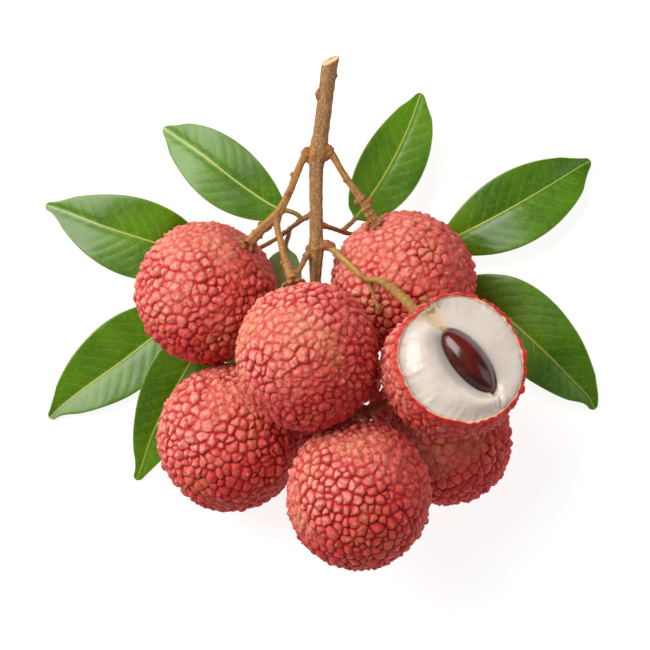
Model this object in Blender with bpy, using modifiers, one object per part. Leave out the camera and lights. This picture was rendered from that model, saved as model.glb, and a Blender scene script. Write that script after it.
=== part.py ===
# A bunch of lychees, laid down on a flat surface: seven fruits, one of them cut open, three
# small ones deep in the bunch, eight leaves, and the woody stem whose stalks carry them. The
# cut end of the stem points along +Y, +Z is up, and the origin is under the middle of the
# bunch, on the surface.

import math

import bmesh
import bpy
from mathutils import Matrix, Vector

MM = 0.001

# Whole fruits, in mm: half_width is across the stem-to-tip axis and half_length along it,
# at the mean height of the skin's knobs. stem_end points from the middle to the stalk.
FRUITS = {
    "fruit_upper_left": dict(centre=(-29.6, 5.4, 20.6), half_width=17.9, half_length=18.3,
                             stem_end=(0.61, 0.70, 0.35)),
    "fruit_centre": dict(centre=(-3.6, -10.5, 46.2), half_width=18.0, half_length=19.1,
                         stem_end=(-0.20, 0.97, -0.12)),
    "fruit_upper_right": dict(centre=(21.1, 7.9, 18.5), half_width=18.4, half_length=18.5,
                              stem_end=(-0.42, 0.84, 0.35)),
    "fruit_lower_left": dict(centre=(-23.5, -31.8, 18.3), half_width=18.3, half_length=19.2,
                             stem_end=(0.50, 0.86, 0.00)),
    "fruit_lower_centre": dict(centre=(9.4, -46.0, 40.2), half_width=18.1, half_length=19.2,
                               stem_end=(-0.15, 0.93, -0.34)),
    "fruit_lower_right": dict(centre=(32.3, -32.8, 16.5), half_width=16.5, half_length=16.5,
                              stem_end=(-0.70, 0.65, 0.29)),
    "fruit_inner_middle": dict(centre=(6.9, -15.9, 8.8), half_width=8.4, half_length=8.6,
                               stem_end=(-0.70, 0.50, 0.50)),
    "fruit_inner_right": dict(centre=(16.5, -24.4, 5.0), half_width=4.6, half_length=4.6,
                              stem_end=(-0.60, 0.10, 0.79)),
    "fruit_inner_left": dict(centre=(-1.0, -29.5, 7.0), half_width=6.4, half_length=6.5,
                             stem_end=(0.40, 0.68, 0.62)),
}
FRUIT_SEGMENTS = 22
FRUIT_RINGS = 13
STEM_DIMPLE = 0.9         # how far the skin dips in round the stalk
STEM_DIMPLE_WIDTH = 0.30  # radians from the stem end

# The cut fruit: a slice is gone above a plane that lies along the fruit's axis.
CUT_CENTRE = (33.3, -13.0, 47.6)
CUT_RADIUS = 18.4
CUT_NORMAL = (0.332, 0.332, 0.883)
CUT_STEM_END = (-0.62, 0.78, -0.06)
CUT_HEIGHT = 5.1          # of the rim above the fruit's middle, along the normal
RIND_THICKNESS = 1.0
RIM_WAVE = 0.45           # the torn rim rises and falls by this much
FLESH_RADIUS = 17.0
FLESH_CREST = 2.4         # the flesh swells this far above the rim
FLESH_CREST_AT = 0.45     # as a share of the way from the seed's bed to the rind
FLESH_BED_RINGS = 4
FLESH_TOP_RINGS = 6
FLESH_LOW_RINGS = 8
SEED_AXES = (4.9, 10.4, 5.3)           # half its width, length and depth
SEED_PLACE = (1.6, -1.7, 3.2)          # across, along the axis and up the normal
SEED_BED = 0.5                         # room round the seed
SEED_SHRINK = 0.97                     # the seed's own size as a share of SEED_AXES

# Woody stalks: a route in mm, and the radius at each of its points.
STALKS = {
    "main_stem": dict(
        route=[(2.3, 65.3, 27.5), (1.4, 58.0, 27.2), (0.5, 50.8, 26.8), (-0.2, 44.4, 26.4),
               (-0.9, 41.1, 26.2), (-1.3, 36.0, 26.0), (-1.3, 27.0, 26.0), (-1.3, 19.1, 26.0),
               (-1.3, 16.5, 26.0), (-1.5, 9.0, 25.4), (-1.3, 0.0, 24.0), (-0.9, -8.0, 21.5),
               (0.6, -16.0, 18.5), (2.5, -22.0, 16.5)],
        radii=[2.1, 2.0, 2.15, 2.05, 2.75, 1.8, 1.75, 1.8, 2.4, 1.55, 1.5, 1.5, 1.45, 1.6]),
    "stalk_upper_left": dict(
        route=[(-4.8, 39.4, 26.3), (-6.2, 36.0, 26.6), (-8.0, 31.4, 27.0), (-10.0, 27.4, 27.4),
               (-11.9, 24.6, 27.5), (-15.0, 21.7, 27.5), (-18.3, 18.3, 27.2)],
        radii=[0.95, 1.0, 1.15, 1.25, 1.55, 1.4, 1.6]),
    "stalk_centre": dict(
        route=[(-11.4, 21.9, 28.8), (-10.3, 18.2, 33.3), (-9.2, 13.8, 38.5), (-8.0, 10.6, 42.0),
               (-7.4, 8.9, 43.7)],
        radii=[0.9, 0.95, 1.0, 1.25, 1.45]),
    "spur_centre": dict(
        route=[(-4.4, 13.8, 28.6), (-5.1, 12.3, 34.0), (-5.6, 10.9, 40.0)],
        radii=[0.75, 0.7, 0.75]),
    "stalk_upper_right": dict(
        route=[(3.6, 39.5, 26.0), (5.1, 36.6, 25.9), (8.0, 32.3, 25.7), (10.0, 29.5, 25.6),
               (11.5, 27.0, 25.5), (13.3, 23.9, 25.2)],
        radii=[0.95, 0.95, 1.05, 1.3, 1.2, 1.55]),
    "stalk_cut_fruit": dict(
        route=[(2.8, 16.0, 27.8), (6.3, 13.1, 31.2), (10.8, 9.0, 36.5), (14.8, 8.2, 40.0),
               (18.0, 6.2, 42.8), (20.4, 4.0, 45.0), (21.9, 2.2, 46.3)],
        radii=[0.9, 0.75, 0.8, 0.85, 0.95, 1.1, 1.2]),
    "side_twig": dict(
        route=[(12.4, 6.9, 37.2), (13.1, 5.0, 37.6), (14.6, 1.3, 38.0)],
        radii=[0.45, 0.45, 0.75]),
    "stalk_lower_left": dict(
        route=[(-3.9, -8.5, 20.3), (-8.0, -10.7, 18.8), (-13.6, -14.7, 18.4)],
        radii=[1.1, 1.0, 1.4]),
    "stalk_lower_centre": dict(
        route=[(3.6, -24.2, 18.6), (5.2, -26.2, 25.0), (6.4, -27.4, 33.4)],
        radii=[1.1, 1.0, 1.4]),
    "stalk_lower_right": dict(
        route=[(5.4, -23.6, 16.4), (8.3, -25.9, 16.6), (11.5, -25.2, 17.6), (15.5, -23.6, 19.6),
               (20.2, -21.5, 21.5)],
        radii=[1.0, 1.0, 0.95, 0.9, 1.3]),
    "stalk_inner_middle": dict(
        route=[(0.1, -11.7, 18.0), (0.4, -11.8, 16.0), (0.9, -11.7, 13.3)],
        radii=[0.6, 0.55, 0.7]),
    "stalk_inner_right": dict(
        route=[(12.3, -24.9, 16.2), (12.8, -24.6, 13.0), (13.5, -24.1, 9.6)],
        radii=[0.55, 0.5, 0.65]),
    "stalk_inner_left": dict(
        route=[(2.1, -22.7, 14.4), (1.9, -23.8, 13.0), (1.7, -24.8, 11.5)],
        radii=[0.55, 0.5, 0.65]),
    "leaf_twig_left": dict(
        route=[(-4.1, 24.5, 24.0), (-7.3, 22.4, 21.0), (-11.1, 19.6, 17.0), (-16.6, 16.6, 11.0),
               (-20.0, 14.8, 6.0), (-22.0, 13.4, 3.0)],
        radii=[0.95, 0.75, 0.7, 0.65, 0.65, 0.75]),
    "leaf_twig_right": dict(
        route=[(1.6, 22.2, 23.0), (3.6, 21.6, 19.8), (5.4, 21.0, 16.4), (7.2, 20.6, 12.4),
               (8.9, 20.2, 8.8), (13.0, 19.6, 4.2), (18.0, 18.9, 2.2), (22.0, 18.4, 1.9),
               (25.0, 17.5, 1.8)],
        radii=[0.95, 0.75, 0.7, 0.7, 0.65, 0.65, 0.65, 0.65, 0.7]),
}
STALK_STEP = 3.0          # spacing of the points read from a stalk's smooth route
BARK_COLOUR = (0.36, 0.20, 0.10)
GREEN_BARK_COLOUR = (0.42, 0.33, 0.09)

# Leaves: the petiole's route, the midrib from the blade's foot to its tip, and the half
# width on each side, left and right as seen from the foot looking to the tip. widest is
# where along the blade that side is widest, and full is how bluntly it closes.
LEAVES = {
    "leaf_upper_left": dict(
        petiole=[(-6.0, 25.2, 23.0), (-7.3, 25.9, 22.3)],
        midrib=[(-8.2, 26.2, 21.7), (-13.0, 27.9, 21.6), (-21.6, 33.7, 20.6),
                (-31.5, 41.4, 18.4), (-40.9, 47.9, 13.4)],
        left=8.6, left_widest=0.47, left_full=0.72,
        right=8.2, right_widest=0.50, right_full=0.68, left_lift=6, right_lift=6),
    "leaf_left_high": dict(
        petiole=[(-23.9, 14.3, 2.1), (-25.6, 14.6, 2.0)],
        midrib=[(-27.0, 14.8, 2.1), (-33.4, 15.7, 2.9), (-42.3, 18.1, 6.0),
                (-56.0, 22.5, 5.4), (-67.0, 26.6, 2.7), (-71.9, 28.2, 1.3)],
        left=10.6, left_widest=0.46, left_full=0.95,
        right=10.0, right_widest=0.46, right_full=0.84, left_lift=11, right_lift=4),
    "leaf_left_low": dict(
        petiole=[(-24.3, 11.4, 1.5), (-28.0, 7.0, 0.8), (-31.0, 4.0, 0.7)],
        midrib=[(-32.4, 2.8, 0.7), (-38.5, -1.9, 0.7), (-45.6, -7.4, 0.9),
                (-52.7, -12.9, 1.5), (-60.5, -18.4, 1.8), (-67.6, -23.9, 1.3),
                (-70.9, -27.4, 1.0)],
        left=8.8, left_widest=0.50, left_full=0.80,
        right=10.7, right_widest=0.47, right_full=0.86, left_lift=13, right_lift=5),
    "leaf_lower_left": dict(
        petiole=[(-22.5, 11.2, 2.0), (-23.9, 6.5, 2.1), (-25.6, 2.6, 2.2)],
        midrib=[(-26.3, 1.2, 2.4), (-30.2, -6.0, 4.1), (-34.6, -13.6, 4.9),
                (-39.9, -22.8, 3.2), (-44.1, -31.6, 2.0), (-46.7, -39.4, 1.45),
                (-48.2, -43.5, 1.0)],
        left=8.6, left_widest=0.42, left_full=0.62,
        right=8.6, right_widest=0.40, right_full=0.90, left_lift=-4, right_lift=5),
    "leaf_centre": dict(
        petiole=[(-8.4, 20.3, 17.4), (-9.0, 18.6, 15.4)],
        midrib=[(-9.2, 17.8, 14.5), (-10.9, 9.4, 7.6), (-13.6, 2.6, 4.2),
                (-17.4, -5.2, 2.0), (-21.0, -11.2, 1.1), (-24.4, -17.8, 1.0)],
        left=6.6, left_widest=0.42, left_full=0.75,
        right=7.0, right_widest=0.50, right_full=0.75, left_lift=4, right_lift=1),
    "leaf_upper_right": dict(
        petiole=[(6.3, 22.1, 17.0), (7.5, 23.2, 16.0)],
        midrib=[(8.2, 23.9, 14.8), (11.7, 28.8, 11.7), (16.9, 36.9, 9.3),
                (21.9, 46.8, 7.7), (25.9, 57.3, 5.2)],
        left=7.9, left_widest=0.46, left_full=0.70,
        right=8.6, right_widest=0.47, right_full=0.62, left_lift=5, right_lift=4),
    "leaf_right_high": dict(
        petiole=[(26.6, 17.6, 1.9), (28.6, 17.6, 2.2)],
        midrib=[(29.8, 17.9, 2.6), (36.2, 20.6, 4.8), (48.4, 27.0, 6.4),
                (59.7, 33.6, 4.8), (66.6, 37.9, 2.8), (70.1, 39.8, 1.4)],
        left=8.9, left_widest=0.50, left_full=0.78,
        right=10.4, right_widest=0.50, right_full=0.68, left_lift=3, right_lift=9),
    "leaf_right_low": dict(
        petiole=[(26.0, 15.4, 1.3), (30.0, 11.6, 1.4), (33.6, 8.3, 1.7)],
        midrib=[(34.7, 7.3, 1.8), (41.5, 3.2, 2.3), (48.7, -1.5, 3.6), (57.9, -9.9, 5.0),
                (64.6, -16.6, 3.6), (69.4, -21.6, 2.1), (71.1, -25.1, 1.4)],
        left=11.0, left_widest=0.42, left_full=0.72,
        right=9.0, right_widest=0.46, right_full=0.74, left_lift=6, right_lift=5),
}
PETIOLE_RADIUS = 0.62
BLADE_THICKNESS = 0.45
MIDRIB_THICKNESS = 0.9
BLADE_STATIONS = 13
PETIOLE_STEP = 2.2        # spacing of the rings along the petiole
MIDRIB_STEP = 0.5         # spacing of the points that the blade's stations are picked from
TIP_START = 0.86          # from this share of the blade on, its sides draw in further
TIP_NARROWING = 0.35
OPENING = 0.3             # the share of the blade over which its sides rise to their full lift
SAG = 0.4                 # the rise halfway out, as a share of the edge's rise
LEAF_COLOUR = (0.055, 0.20, 0.012)
PALE_LEAF_COLOUR = (0.22, 0.36, 0.17)

FRUIT_COLOUR = (0.52, 0.055, 0.05)
RIND_COLOUR = (0.50, 0.04, 0.04)
FLESH_COLOUR = (0.86, 0.85, 0.80)
SEED_COLOUR = (0.075, 0.014, 0.006)


def clear_scene():
    for thing in list(bpy.data.objects):
        bpy.data.objects.remove(thing, do_unlink=True)


def material(name, colour, roughness):
    made = bpy.data.materials.new(name)
    made.use_nodes = True
    shader = made.node_tree.nodes["Principled BSDF"]
    shader.inputs["Base Color"].default_value = (*colour, 1.0)
    shader.inputs["Roughness"].default_value = roughness
    shader.inputs["Metallic"].default_value = 0.0
    return made


def put(name, data, colour, roughness, bunch):
    piece = bpy.data.objects.new(name, data)
    data.materials.append(material(name, colour, roughness))
    bunch.objects.link(piece)
    return piece


def smooth_route(points, step):
    """Points about a step apart on a Catmull-Rom curve through the given ones, as
    (place, t) pairs, where t counts the given points."""
    knots = [Vector(p) for p in points]
    knots = [2 * knots[0] - knots[1], *knots, 2 * knots[-1] - knots[-2]]
    route = []
    for i in range(1, len(knots) - 2):
        before, here, there, after = knots[i - 1:i + 3]
        pieces = max(1, round((there - here).length / step))
        for k in range(pieces):
            t = k / pieces
            place = 0.5 * (2 * here + (there - before) * t
                           + (2 * before - 5 * here + 4 * there - after) * t ** 2
                           + (3 * here - before - 3 * there + after) * t ** 3)
            route.append((place, i - 1 + t))
    route.append((knots[-2], len(points) - 1.0))
    return route


def between(values, t):
    low = min(int(t), len(values) - 2)
    return values[low] + (values[low + 1] - values[low]) * (t - low)


def stalk(name, route, radii, colour, bunch):
    """A tapering tube along a smooth route, with flat ends."""
    curve = bpy.data.curves.new(name, "CURVE")
    curve.dimensions = "3D"
    curve.bevel_depth = MM
    curve.bevel_resolution = 2
    curve.use_fill_caps = True
    points = smooth_route(route, STALK_STEP)
    spline = curve.splines.new("POLY")
    spline.points.add(len(points) - 1)
    for point, (place, t) in zip(spline.points, points):
        point.co = (*(place * MM), 1.0)
        point.radius = between(radii, t)
    put(name, curve, colour, 0.8, bunch)


def turned_to(axis, toward):
    """The rotation whose local Z is the axis and whose local Y leans toward a direction."""
    z = Vector(axis).normalized()
    x = Vector(toward).cross(z).normalized()
    return Matrix((x, z.cross(x), z)).transposed().to_4x4()


def whole_fruit(name, centre, half_width, half_length, stem_end, bunch):
    """A slightly long ball whose skin dips in round the stalk, at its local +Z."""
    shape = bmesh.new()
    bmesh.ops.create_uvsphere(shape, u_segments=FRUIT_SEGMENTS, v_segments=FRUIT_RINGS, radius=1.0)
    for vert in shape.verts:
        from_stem = vert.co.angle(Vector((0, 0, 1)))
        dip = STEM_DIMPLE * math.exp(-(from_stem / STEM_DIMPLE_WIDTH) ** 2)
        vert.co.x *= half_width * MM
        vert.co.y *= half_width * MM
        vert.co.z *= (half_length - dip) * MM
    mesh = bpy.data.meshes.new(name)
    shape.to_mesh(mesh)
    shape.free()
    mesh.shade_smooth()
    fruit = put(name, mesh, FRUIT_COLOUR, 0.6, bunch)
    fruit.matrix_world = Matrix.Translation(Vector(centre) * MM) @ turned_to(stem_end, (0, 0, 1))


def rim_height(angle):
    wave = 0.6 * math.sin(3 * angle + 0.8) + 0.4 * math.sin(7 * angle)
    return CUT_HEIGHT + RIM_WAVE * wave


def rind(place, bunch):
    """The skin as a bowl, open above the cut, with a wavy torn rim."""
    shape = bmesh.new()
    bmesh.ops.create_uvsphere(shape, u_segments=28, v_segments=16, radius=CUT_RADIUS * MM)
    bmesh.ops.bisect_plane(shape, geom=shape.verts[:] + shape.edges[:] + shape.faces[:],
                           plane_co=(0, 0, CUT_HEIGHT * MM), plane_no=(0, 0, 1), clear_outer=True)
    for edge in shape.edges:
        if edge.is_boundary:
            for vert in edge.verts:
                height = rim_height(math.atan2(vert.co.y, vert.co.x))
                across = math.sqrt(CUT_RADIUS ** 2 - height ** 2) * MM
                flat = Vector((vert.co.x, vert.co.y, 0)).normalized() * across
                vert.co = (flat.x, flat.y, height * MM)
    mesh = bpy.data.meshes.new("cut_fruit_rind")
    shape.to_mesh(mesh)
    shape.free()
    mesh.shade_smooth()
    bowl = put("cut_fruit_rind", mesh, RIND_COLOUR, 0.6, bunch)
    bowl.matrix_world = place
    wall = bowl.modifiers.new("wall", "SOLIDIFY")
    wall.thickness = RIND_THICKNESS * MM
    wall.offset = -1.0


def flesh_ring(share, angle):
    """A point on the flesh's upper face. Up to share 1 it lines the seed's bed, and from
    there to share 2 it swells over a crest and comes down to the edge at the rind."""
    bed = [axis + SEED_BED for axis in SEED_AXES]
    out = min(share, 1.0)
    x = SEED_PLACE[0] + out * bed[0] * math.cos(angle)
    y = SEED_PLACE[1] + out * bed[1] * math.sin(angle)
    height = SEED_PLACE[2] - bed[2] * math.sqrt(1 - out ** 2)
    if share > 1:
        over = share - 1
        edge_height = CUT_HEIGHT - 1.0
        edge = math.sqrt(FLESH_RADIUS ** 2 - edge_height ** 2)
        x += (edge * math.cos(angle) - x) * over
        y += (edge * math.sin(angle) - y) * over
        crest = CUT_HEIGHT + FLESH_CREST
        if over < FLESH_CREST_AT:
            rise = math.sin(over / FLESH_CREST_AT * math.pi / 2)
            height += (crest - height) * rise
        else:
            fall = (over - FLESH_CREST_AT) / (1 - FLESH_CREST_AT)
            height = edge_height + (crest - edge_height) * math.cos(fall * math.pi / 2)
    return x, y, height


def flesh(place, bunch):
    """The white flesh: a ball that fills the rind, with a bed for the seed in its open top."""
    segments = 28
    shape = bmesh.new()
    turns = [2 * math.pi * j / segments for j in range(segments)]
    rings = []
    for k in range(1, FLESH_BED_RINGS + FLESH_TOP_RINGS + 1):
        share = (k / FLESH_BED_RINGS if k <= FLESH_BED_RINGS
                 else 1 + (k - FLESH_BED_RINGS) / FLESH_TOP_RINGS)
        rings.append([flesh_ring(share, turn) for turn in turns])
    slope = math.asin((CUT_HEIGHT - 1.0) / FLESH_RADIUS)
    for k in range(1, FLESH_LOW_RINGS):
        angle = slope - (slope + math.pi / 2) * k / FLESH_LOW_RINGS
        across = FLESH_RADIUS * math.cos(angle)
        height = FLESH_RADIUS * math.sin(angle)
        rings.append([(across * math.cos(turn), across * math.sin(turn), height)
                      for turn in turns])
    loops = [[shape.verts.new(Vector(spot) * MM) for spot in ring] for ring in rings]
    top = shape.verts.new(Vector(flesh_ring(0, 0)) * MM)
    bottom = shape.verts.new((0, 0, -FLESH_RADIUS * MM))
    for j in range(segments):
        after = (j + 1) % segments
        shape.faces.new((top, loops[0][j], loops[0][after]))
        shape.faces.new((bottom, loops[-1][after], loops[-1][j]))
        for upper, lower in zip(loops, loops[1:]):
            shape.faces.new((upper[j], lower[j], lower[after], upper[after]))
    mesh = bpy.data.meshes.new("cut_fruit_flesh")
    shape.to_mesh(mesh)
    shape.free()
    put("cut_fruit_flesh", mesh, FLESH_COLOUR, 0.25, bunch).matrix_world = place


def seed(place, bunch):
    shape = bmesh.new()
    bmesh.ops.create_uvsphere(shape, u_segments=18, v_segments=12, radius=1.0)
    bmesh.ops.scale(shape, vec=Vector(SEED_AXES) * MM * SEED_SHRINK, verts=shape.verts)
    bmesh.ops.translate(shape, vec=Vector(SEED_PLACE) * MM, verts=shape.verts)
    mesh = bpy.data.meshes.new("cut_fruit_seed")
    shape.to_mesh(mesh)
    shape.free()
    mesh.shade_smooth()
    put("cut_fruit_seed", mesh, SEED_COLOUR, 0.15, bunch).matrix_world = place


def half_width(along, width, widest, full):
    """The blade's half width at a share of its length: blunt at the foot, pointed at the tip."""
    turn = math.pi * along ** (math.log(0.5) / math.log(widest))
    tip = 1 - TIP_NARROWING * max(0.0, (along - TIP_START) / (1 - TIP_START))
    return width * max(0.0, math.sin(turn)) ** full * tip


def leaf(name, petiole, midrib, colour, bunch, **sides):
    """A closed loft along the petiole and the midrib: round at the petiole, then flat."""
    whole = [(place, 0.0) for place, _ in smooth_route([*petiole, midrib[0]], PETIOLE_STEP)[:-1]]
    blade = smooth_route(midrib, MIDRIB_STEP)
    lengths = [0.0]
    for (a, _), (b, _) in zip(blade, blade[1:]):
        lengths.append(lengths[-1] + (b - a).length)
    for k in range(BLADE_STATIONS + 1):
        wanted = lengths[-1] * k / BLADE_STATIONS
        near = min(range(len(lengths)), key=lambda i: abs(lengths[i] - wanted))
        whole.append((blade[near][0], k / BLADE_STATIONS))
    shape = bmesh.new()
    loops = []
    for i, (place, along) in enumerate(whole):
        ahead = whole[min(i + 1, len(whole) - 1)][0] - whole[max(i - 1, 0)][0]
        side = Vector((0, 0, 1)).cross(ahead).normalized()
        up = ahead.cross(side).normalized()
        loop = []
        for sign, which in ((1, "left"), (-1, "right")):
            width = max(PETIOLE_RADIUS, half_width(
                along, sides[which], sides[which + "_widest"], sides[which + "_full"]))
            broad = min(1.0, (width - PETIOLE_RADIUS) / 3)
            thick = MIDRIB_THICKNESS / 2 * (1 - broad) + BLADE_THICKNESS / 2 * broad
            opened = min(1.0, along / OPENING)
            rise = width * math.tan(math.radians(sides[which + "_lift"])) * broad * opened
            edge = place + side * sign * width + up * rise
            middle = place + side * sign * width * 0.5 + up * rise * SAG
            loop.append([middle + up * thick, edge, middle - up * thick])
        ridge = up * MIDRIB_THICKNESS / 2
        left, right = loop
        ring = [place + ridge, left[0], left[1], left[2], place - ridge,
                right[2], right[1], right[0]]
        loops.append([shape.verts.new(spot * MM) for spot in ring])
    for a, b in zip(loops, loops[1:]):
        for j in range(8):
            after = (j + 1) % 8
            shape.faces.new((a[j], a[after], b[after], b[j]))
    shape.faces.new(loops[0][::-1])
    shape.faces.new(loops[-1])
    bmesh.ops.recalc_face_normals(shape, faces=shape.faces)
    bmesh.ops.triangulate(shape, faces=shape.faces)
    mesh = bpy.data.meshes.new(name)
    shape.to_mesh(mesh)
    shape.free()
    put(name, mesh, colour, 0.35, bunch)


def main():
    clear_scene()
    bunch = bpy.data.collections.new("lychee_bunch")
    bpy.context.scene.collection.children.link(bunch)
    for name, data in FRUITS.items():
        whole_fruit(name, **data, bunch=bunch)
    place = (Matrix.Translation(Vector(CUT_CENTRE) * MM)
             @ turned_to(CUT_NORMAL, CUT_STEM_END))
    rind(place, bunch)
    flesh(place, bunch)
    seed(place, bunch)
    for name, data in STALKS.items():
        green = name in ("stalk_cut_fruit", "side_twig")
        stalk(name, **data, colour=GREEN_BARK_COLOUR if green else BARK_COLOUR, bunch=bunch)
    for name, data in LEAVES.items():
        pale = name == "leaf_centre"
        leaf(name, **data, colour=PALE_LEAF_COLOUR if pale else LEAF_COLOUR, bunch=bunch)


main()
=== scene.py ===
import itertools
import math

import bpy
import numpy as np
from mathutils import Matrix, Vector


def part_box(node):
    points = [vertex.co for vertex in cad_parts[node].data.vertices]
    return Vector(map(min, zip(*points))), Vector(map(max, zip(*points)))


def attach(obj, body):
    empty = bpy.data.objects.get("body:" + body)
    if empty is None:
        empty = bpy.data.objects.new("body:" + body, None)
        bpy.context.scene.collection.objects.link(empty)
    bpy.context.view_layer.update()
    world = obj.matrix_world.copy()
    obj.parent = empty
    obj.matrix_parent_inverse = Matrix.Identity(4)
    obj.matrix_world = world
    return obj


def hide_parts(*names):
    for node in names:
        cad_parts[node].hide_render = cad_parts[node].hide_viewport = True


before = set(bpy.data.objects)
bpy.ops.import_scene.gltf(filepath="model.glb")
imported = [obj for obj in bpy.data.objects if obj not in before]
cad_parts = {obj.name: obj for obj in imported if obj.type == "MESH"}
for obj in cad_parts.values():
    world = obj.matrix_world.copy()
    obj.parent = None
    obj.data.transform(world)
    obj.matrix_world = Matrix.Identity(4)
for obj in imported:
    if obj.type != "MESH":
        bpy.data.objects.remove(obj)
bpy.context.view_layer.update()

mm = 0.001


# ---- small helpers

def linearColour(code):
    # an sRGB hex value as the linear colour that shaders take
    parts = [int(code[i:i + 2], 16) / 255 for i in (0, 2, 4)]
    return tuple(p / 12.92 if p < 0.04045 else ((p + 0.055) / 1.055) ** 2.4 for p in parts) + (1.0,)


nodeKinds = {
    "mix": ("ShaderNodeMix", {"data_type": "RGBA"}),         # factor, first, second
    "range": ("ShaderNodeMapRange", {"interpolation_type": "SMOOTHSTEP"}),   # value, from, to
    "multiply": ("ShaderNodeMath", {"operation": "MULTIPLY"}),
    "divide": ("ShaderNodeMath", {"operation": "DIVIDE"}),
    "add": ("ShaderNodeMath", {"operation": "ADD"}),
    "subtract": ("ShaderNodeMath", {"operation": "SUBTRACT"}),
    "size": ("ShaderNodeMath", {"operation": "ABSOLUTE"}),
    "round": ("ShaderNodeMath", {"operation": "ROUND"}),
    "above": ("ShaderNodeMath", {"operation": "GREATER_THAN"}),
    "noise": ("ShaderNodeTexNoise", {}),
    "cells": ("ShaderNodeTexVoronoi", {}),
    "mark": ("ShaderNodeAttribute", {}),
    "place": ("ShaderNodeTexCoord", {}),
    "bump": ("ShaderNodeBump", {}),
}


def feed(tree, socket, value):
    # a number, a hex colour, a node's first output, or a (node, output) pair
    if isinstance(value, str):
        socket.default_value = linearColour(value)
    elif isinstance(value, bpy.types.Node):
        tree.links.new(next(out for out in value.outputs if out.enabled), socket)
    elif isinstance(value, tuple):
        tree.links.new(value[0].outputs[value[1]], socket)
    else:
        socket.default_value = value


def addNode(tree, kind, *inputs, **settings):
    # inputs fill the node's sockets in order; settings are named attributes or sockets
    made, usual = nodeKinds[kind]
    node = tree.nodes.new(made)
    for key, value in {**usual, **settings}.items():
        if hasattr(node, key):
            setattr(node, key, value)
        else:
            feed(tree, node.inputs[key], value)
    for socket, value in zip([one for one in node.inputs if one.enabled], inputs):
        feed(tree, socket, value)
    return node


def newMaterial(name, settings):
    made = bpy.data.materials.new(name)
    made.use_nodes = True
    shader = made.node_tree.nodes["Principled BSDF"]
    for socket, value in settings.items():
        shader.inputs[socket].default_value = value
    return made, made.node_tree, shader


def deselectAll():
    if bpy.context.object and bpy.context.object.mode != "OBJECT":
        bpy.ops.object.mode_set(mode="OBJECT")
    bpy.ops.object.select_all(action="DESELECT")


def meshPoints(piece):
    points = np.empty(len(piece.data.vertices) * 3, np.float32)
    piece.data.vertices.foreach_get("co", points)
    return points.reshape(-1, 3).astype(np.float64)


def setPoints(piece, points):
    piece.data.vertices.foreach_set("co", np.ascontiguousarray(points, np.float32).ravel())
    piece.data.update()


def addAttribute(piece, name, values):
    layer = piece.data.attributes.new(name, "FLOAT", "POINT")
    layer.data.foreach_set("value", np.ascontiguousarray(values, np.float32))


def cornerPoints(mesh):
    # the point that each face corner uses
    corners = np.empty(len(mesh.loops), np.int64)
    mesh.loops.foreach_get("vertex_index", corners)
    return corners


def setBakeMap(mesh, spots):
    # the bake's own map takes the place of the primitive's
    while mesh.uv_layers:
        mesh.uv_layers.remove(mesh.uv_layers[0])
    layer = mesh.uv_layers.new(name="OFBake")
    layer.data.foreach_set("uv", spots.astype(np.float32).ravel())


def finishPiece(piece, name, material, nodes):
    piece.name = name
    piece.data.name = name
    piece.data.materials.clear()
    piece.data.materials.append(material)
    piece.data.shade_smooth()
    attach(piece, "root")
    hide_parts(*nodes)


def softNoise(points, size, seed):
    # smooth random values between -1 and 1 that change over a distance of size
    lattice = np.random.default_rng(seed).uniform(-1, 1, (32, 32, 32))
    scaled = points / size + 500.0
    cell = np.floor(scaled).astype(int)
    part = scaled - cell
    part = part * part * (3 - 2 * part)
    total = np.zeros(len(points))
    for corner in itertools.product((0, 1), repeat=3):
        weight = np.ones(len(points))
        for axis in range(3):
            weight = weight * (part[:, axis] if corner[axis] else 1 - part[:, axis])
        spot = (cell + corner) % 32
        total += weight * lattice[spot[:, 0], spot[:, 1], spot[:, 2]]
    return total


def unit(vectors):
    return vectors / np.linalg.norm(vectors, axis=-1, keepdims=True)


def smoothStep(values, low, high):
    t = np.clip((values - low) / (high - low), 0, 1)
    return t * t * (3 - 2 * t)


def turnedTo(axis, toward):
    # the rotation whose local Z is the axis and whose local Y leans toward a direction
    z = Vector(axis).normalized()
    x = Vector(toward).cross(z).normalized()
    return Matrix((x, z.cross(x), z)).transposed()


def smoothRoute(points, step):
    # places about a step apart on a Catmull-Rom curve, each with its count of points passed
    knots = [Vector(p) for p in points]
    knots = [2 * knots[0] - knots[1], *knots, 2 * knots[-1] - knots[-2]]
    route = []
    for i in range(1, len(knots) - 2):
        before, here, there, after = knots[i - 1:i + 3]
        pieces = max(1, round((there - here).length / step))
        for k in range(pieces):
            t = k / pieces
            place = 0.5 * (2 * here + (there - before) * t
                           + (2 * before - 5 * here + 4 * there - after) * t ** 2
                           + (3 * here - before - 3 * there + after) * t ** 3)
            route.append((place, i - 1 + t))
    route.append((knots[-2], len(points) - 1.0))
    return route


# ---- the knobbly skin, shared by the whole fruits and the rind

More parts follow.
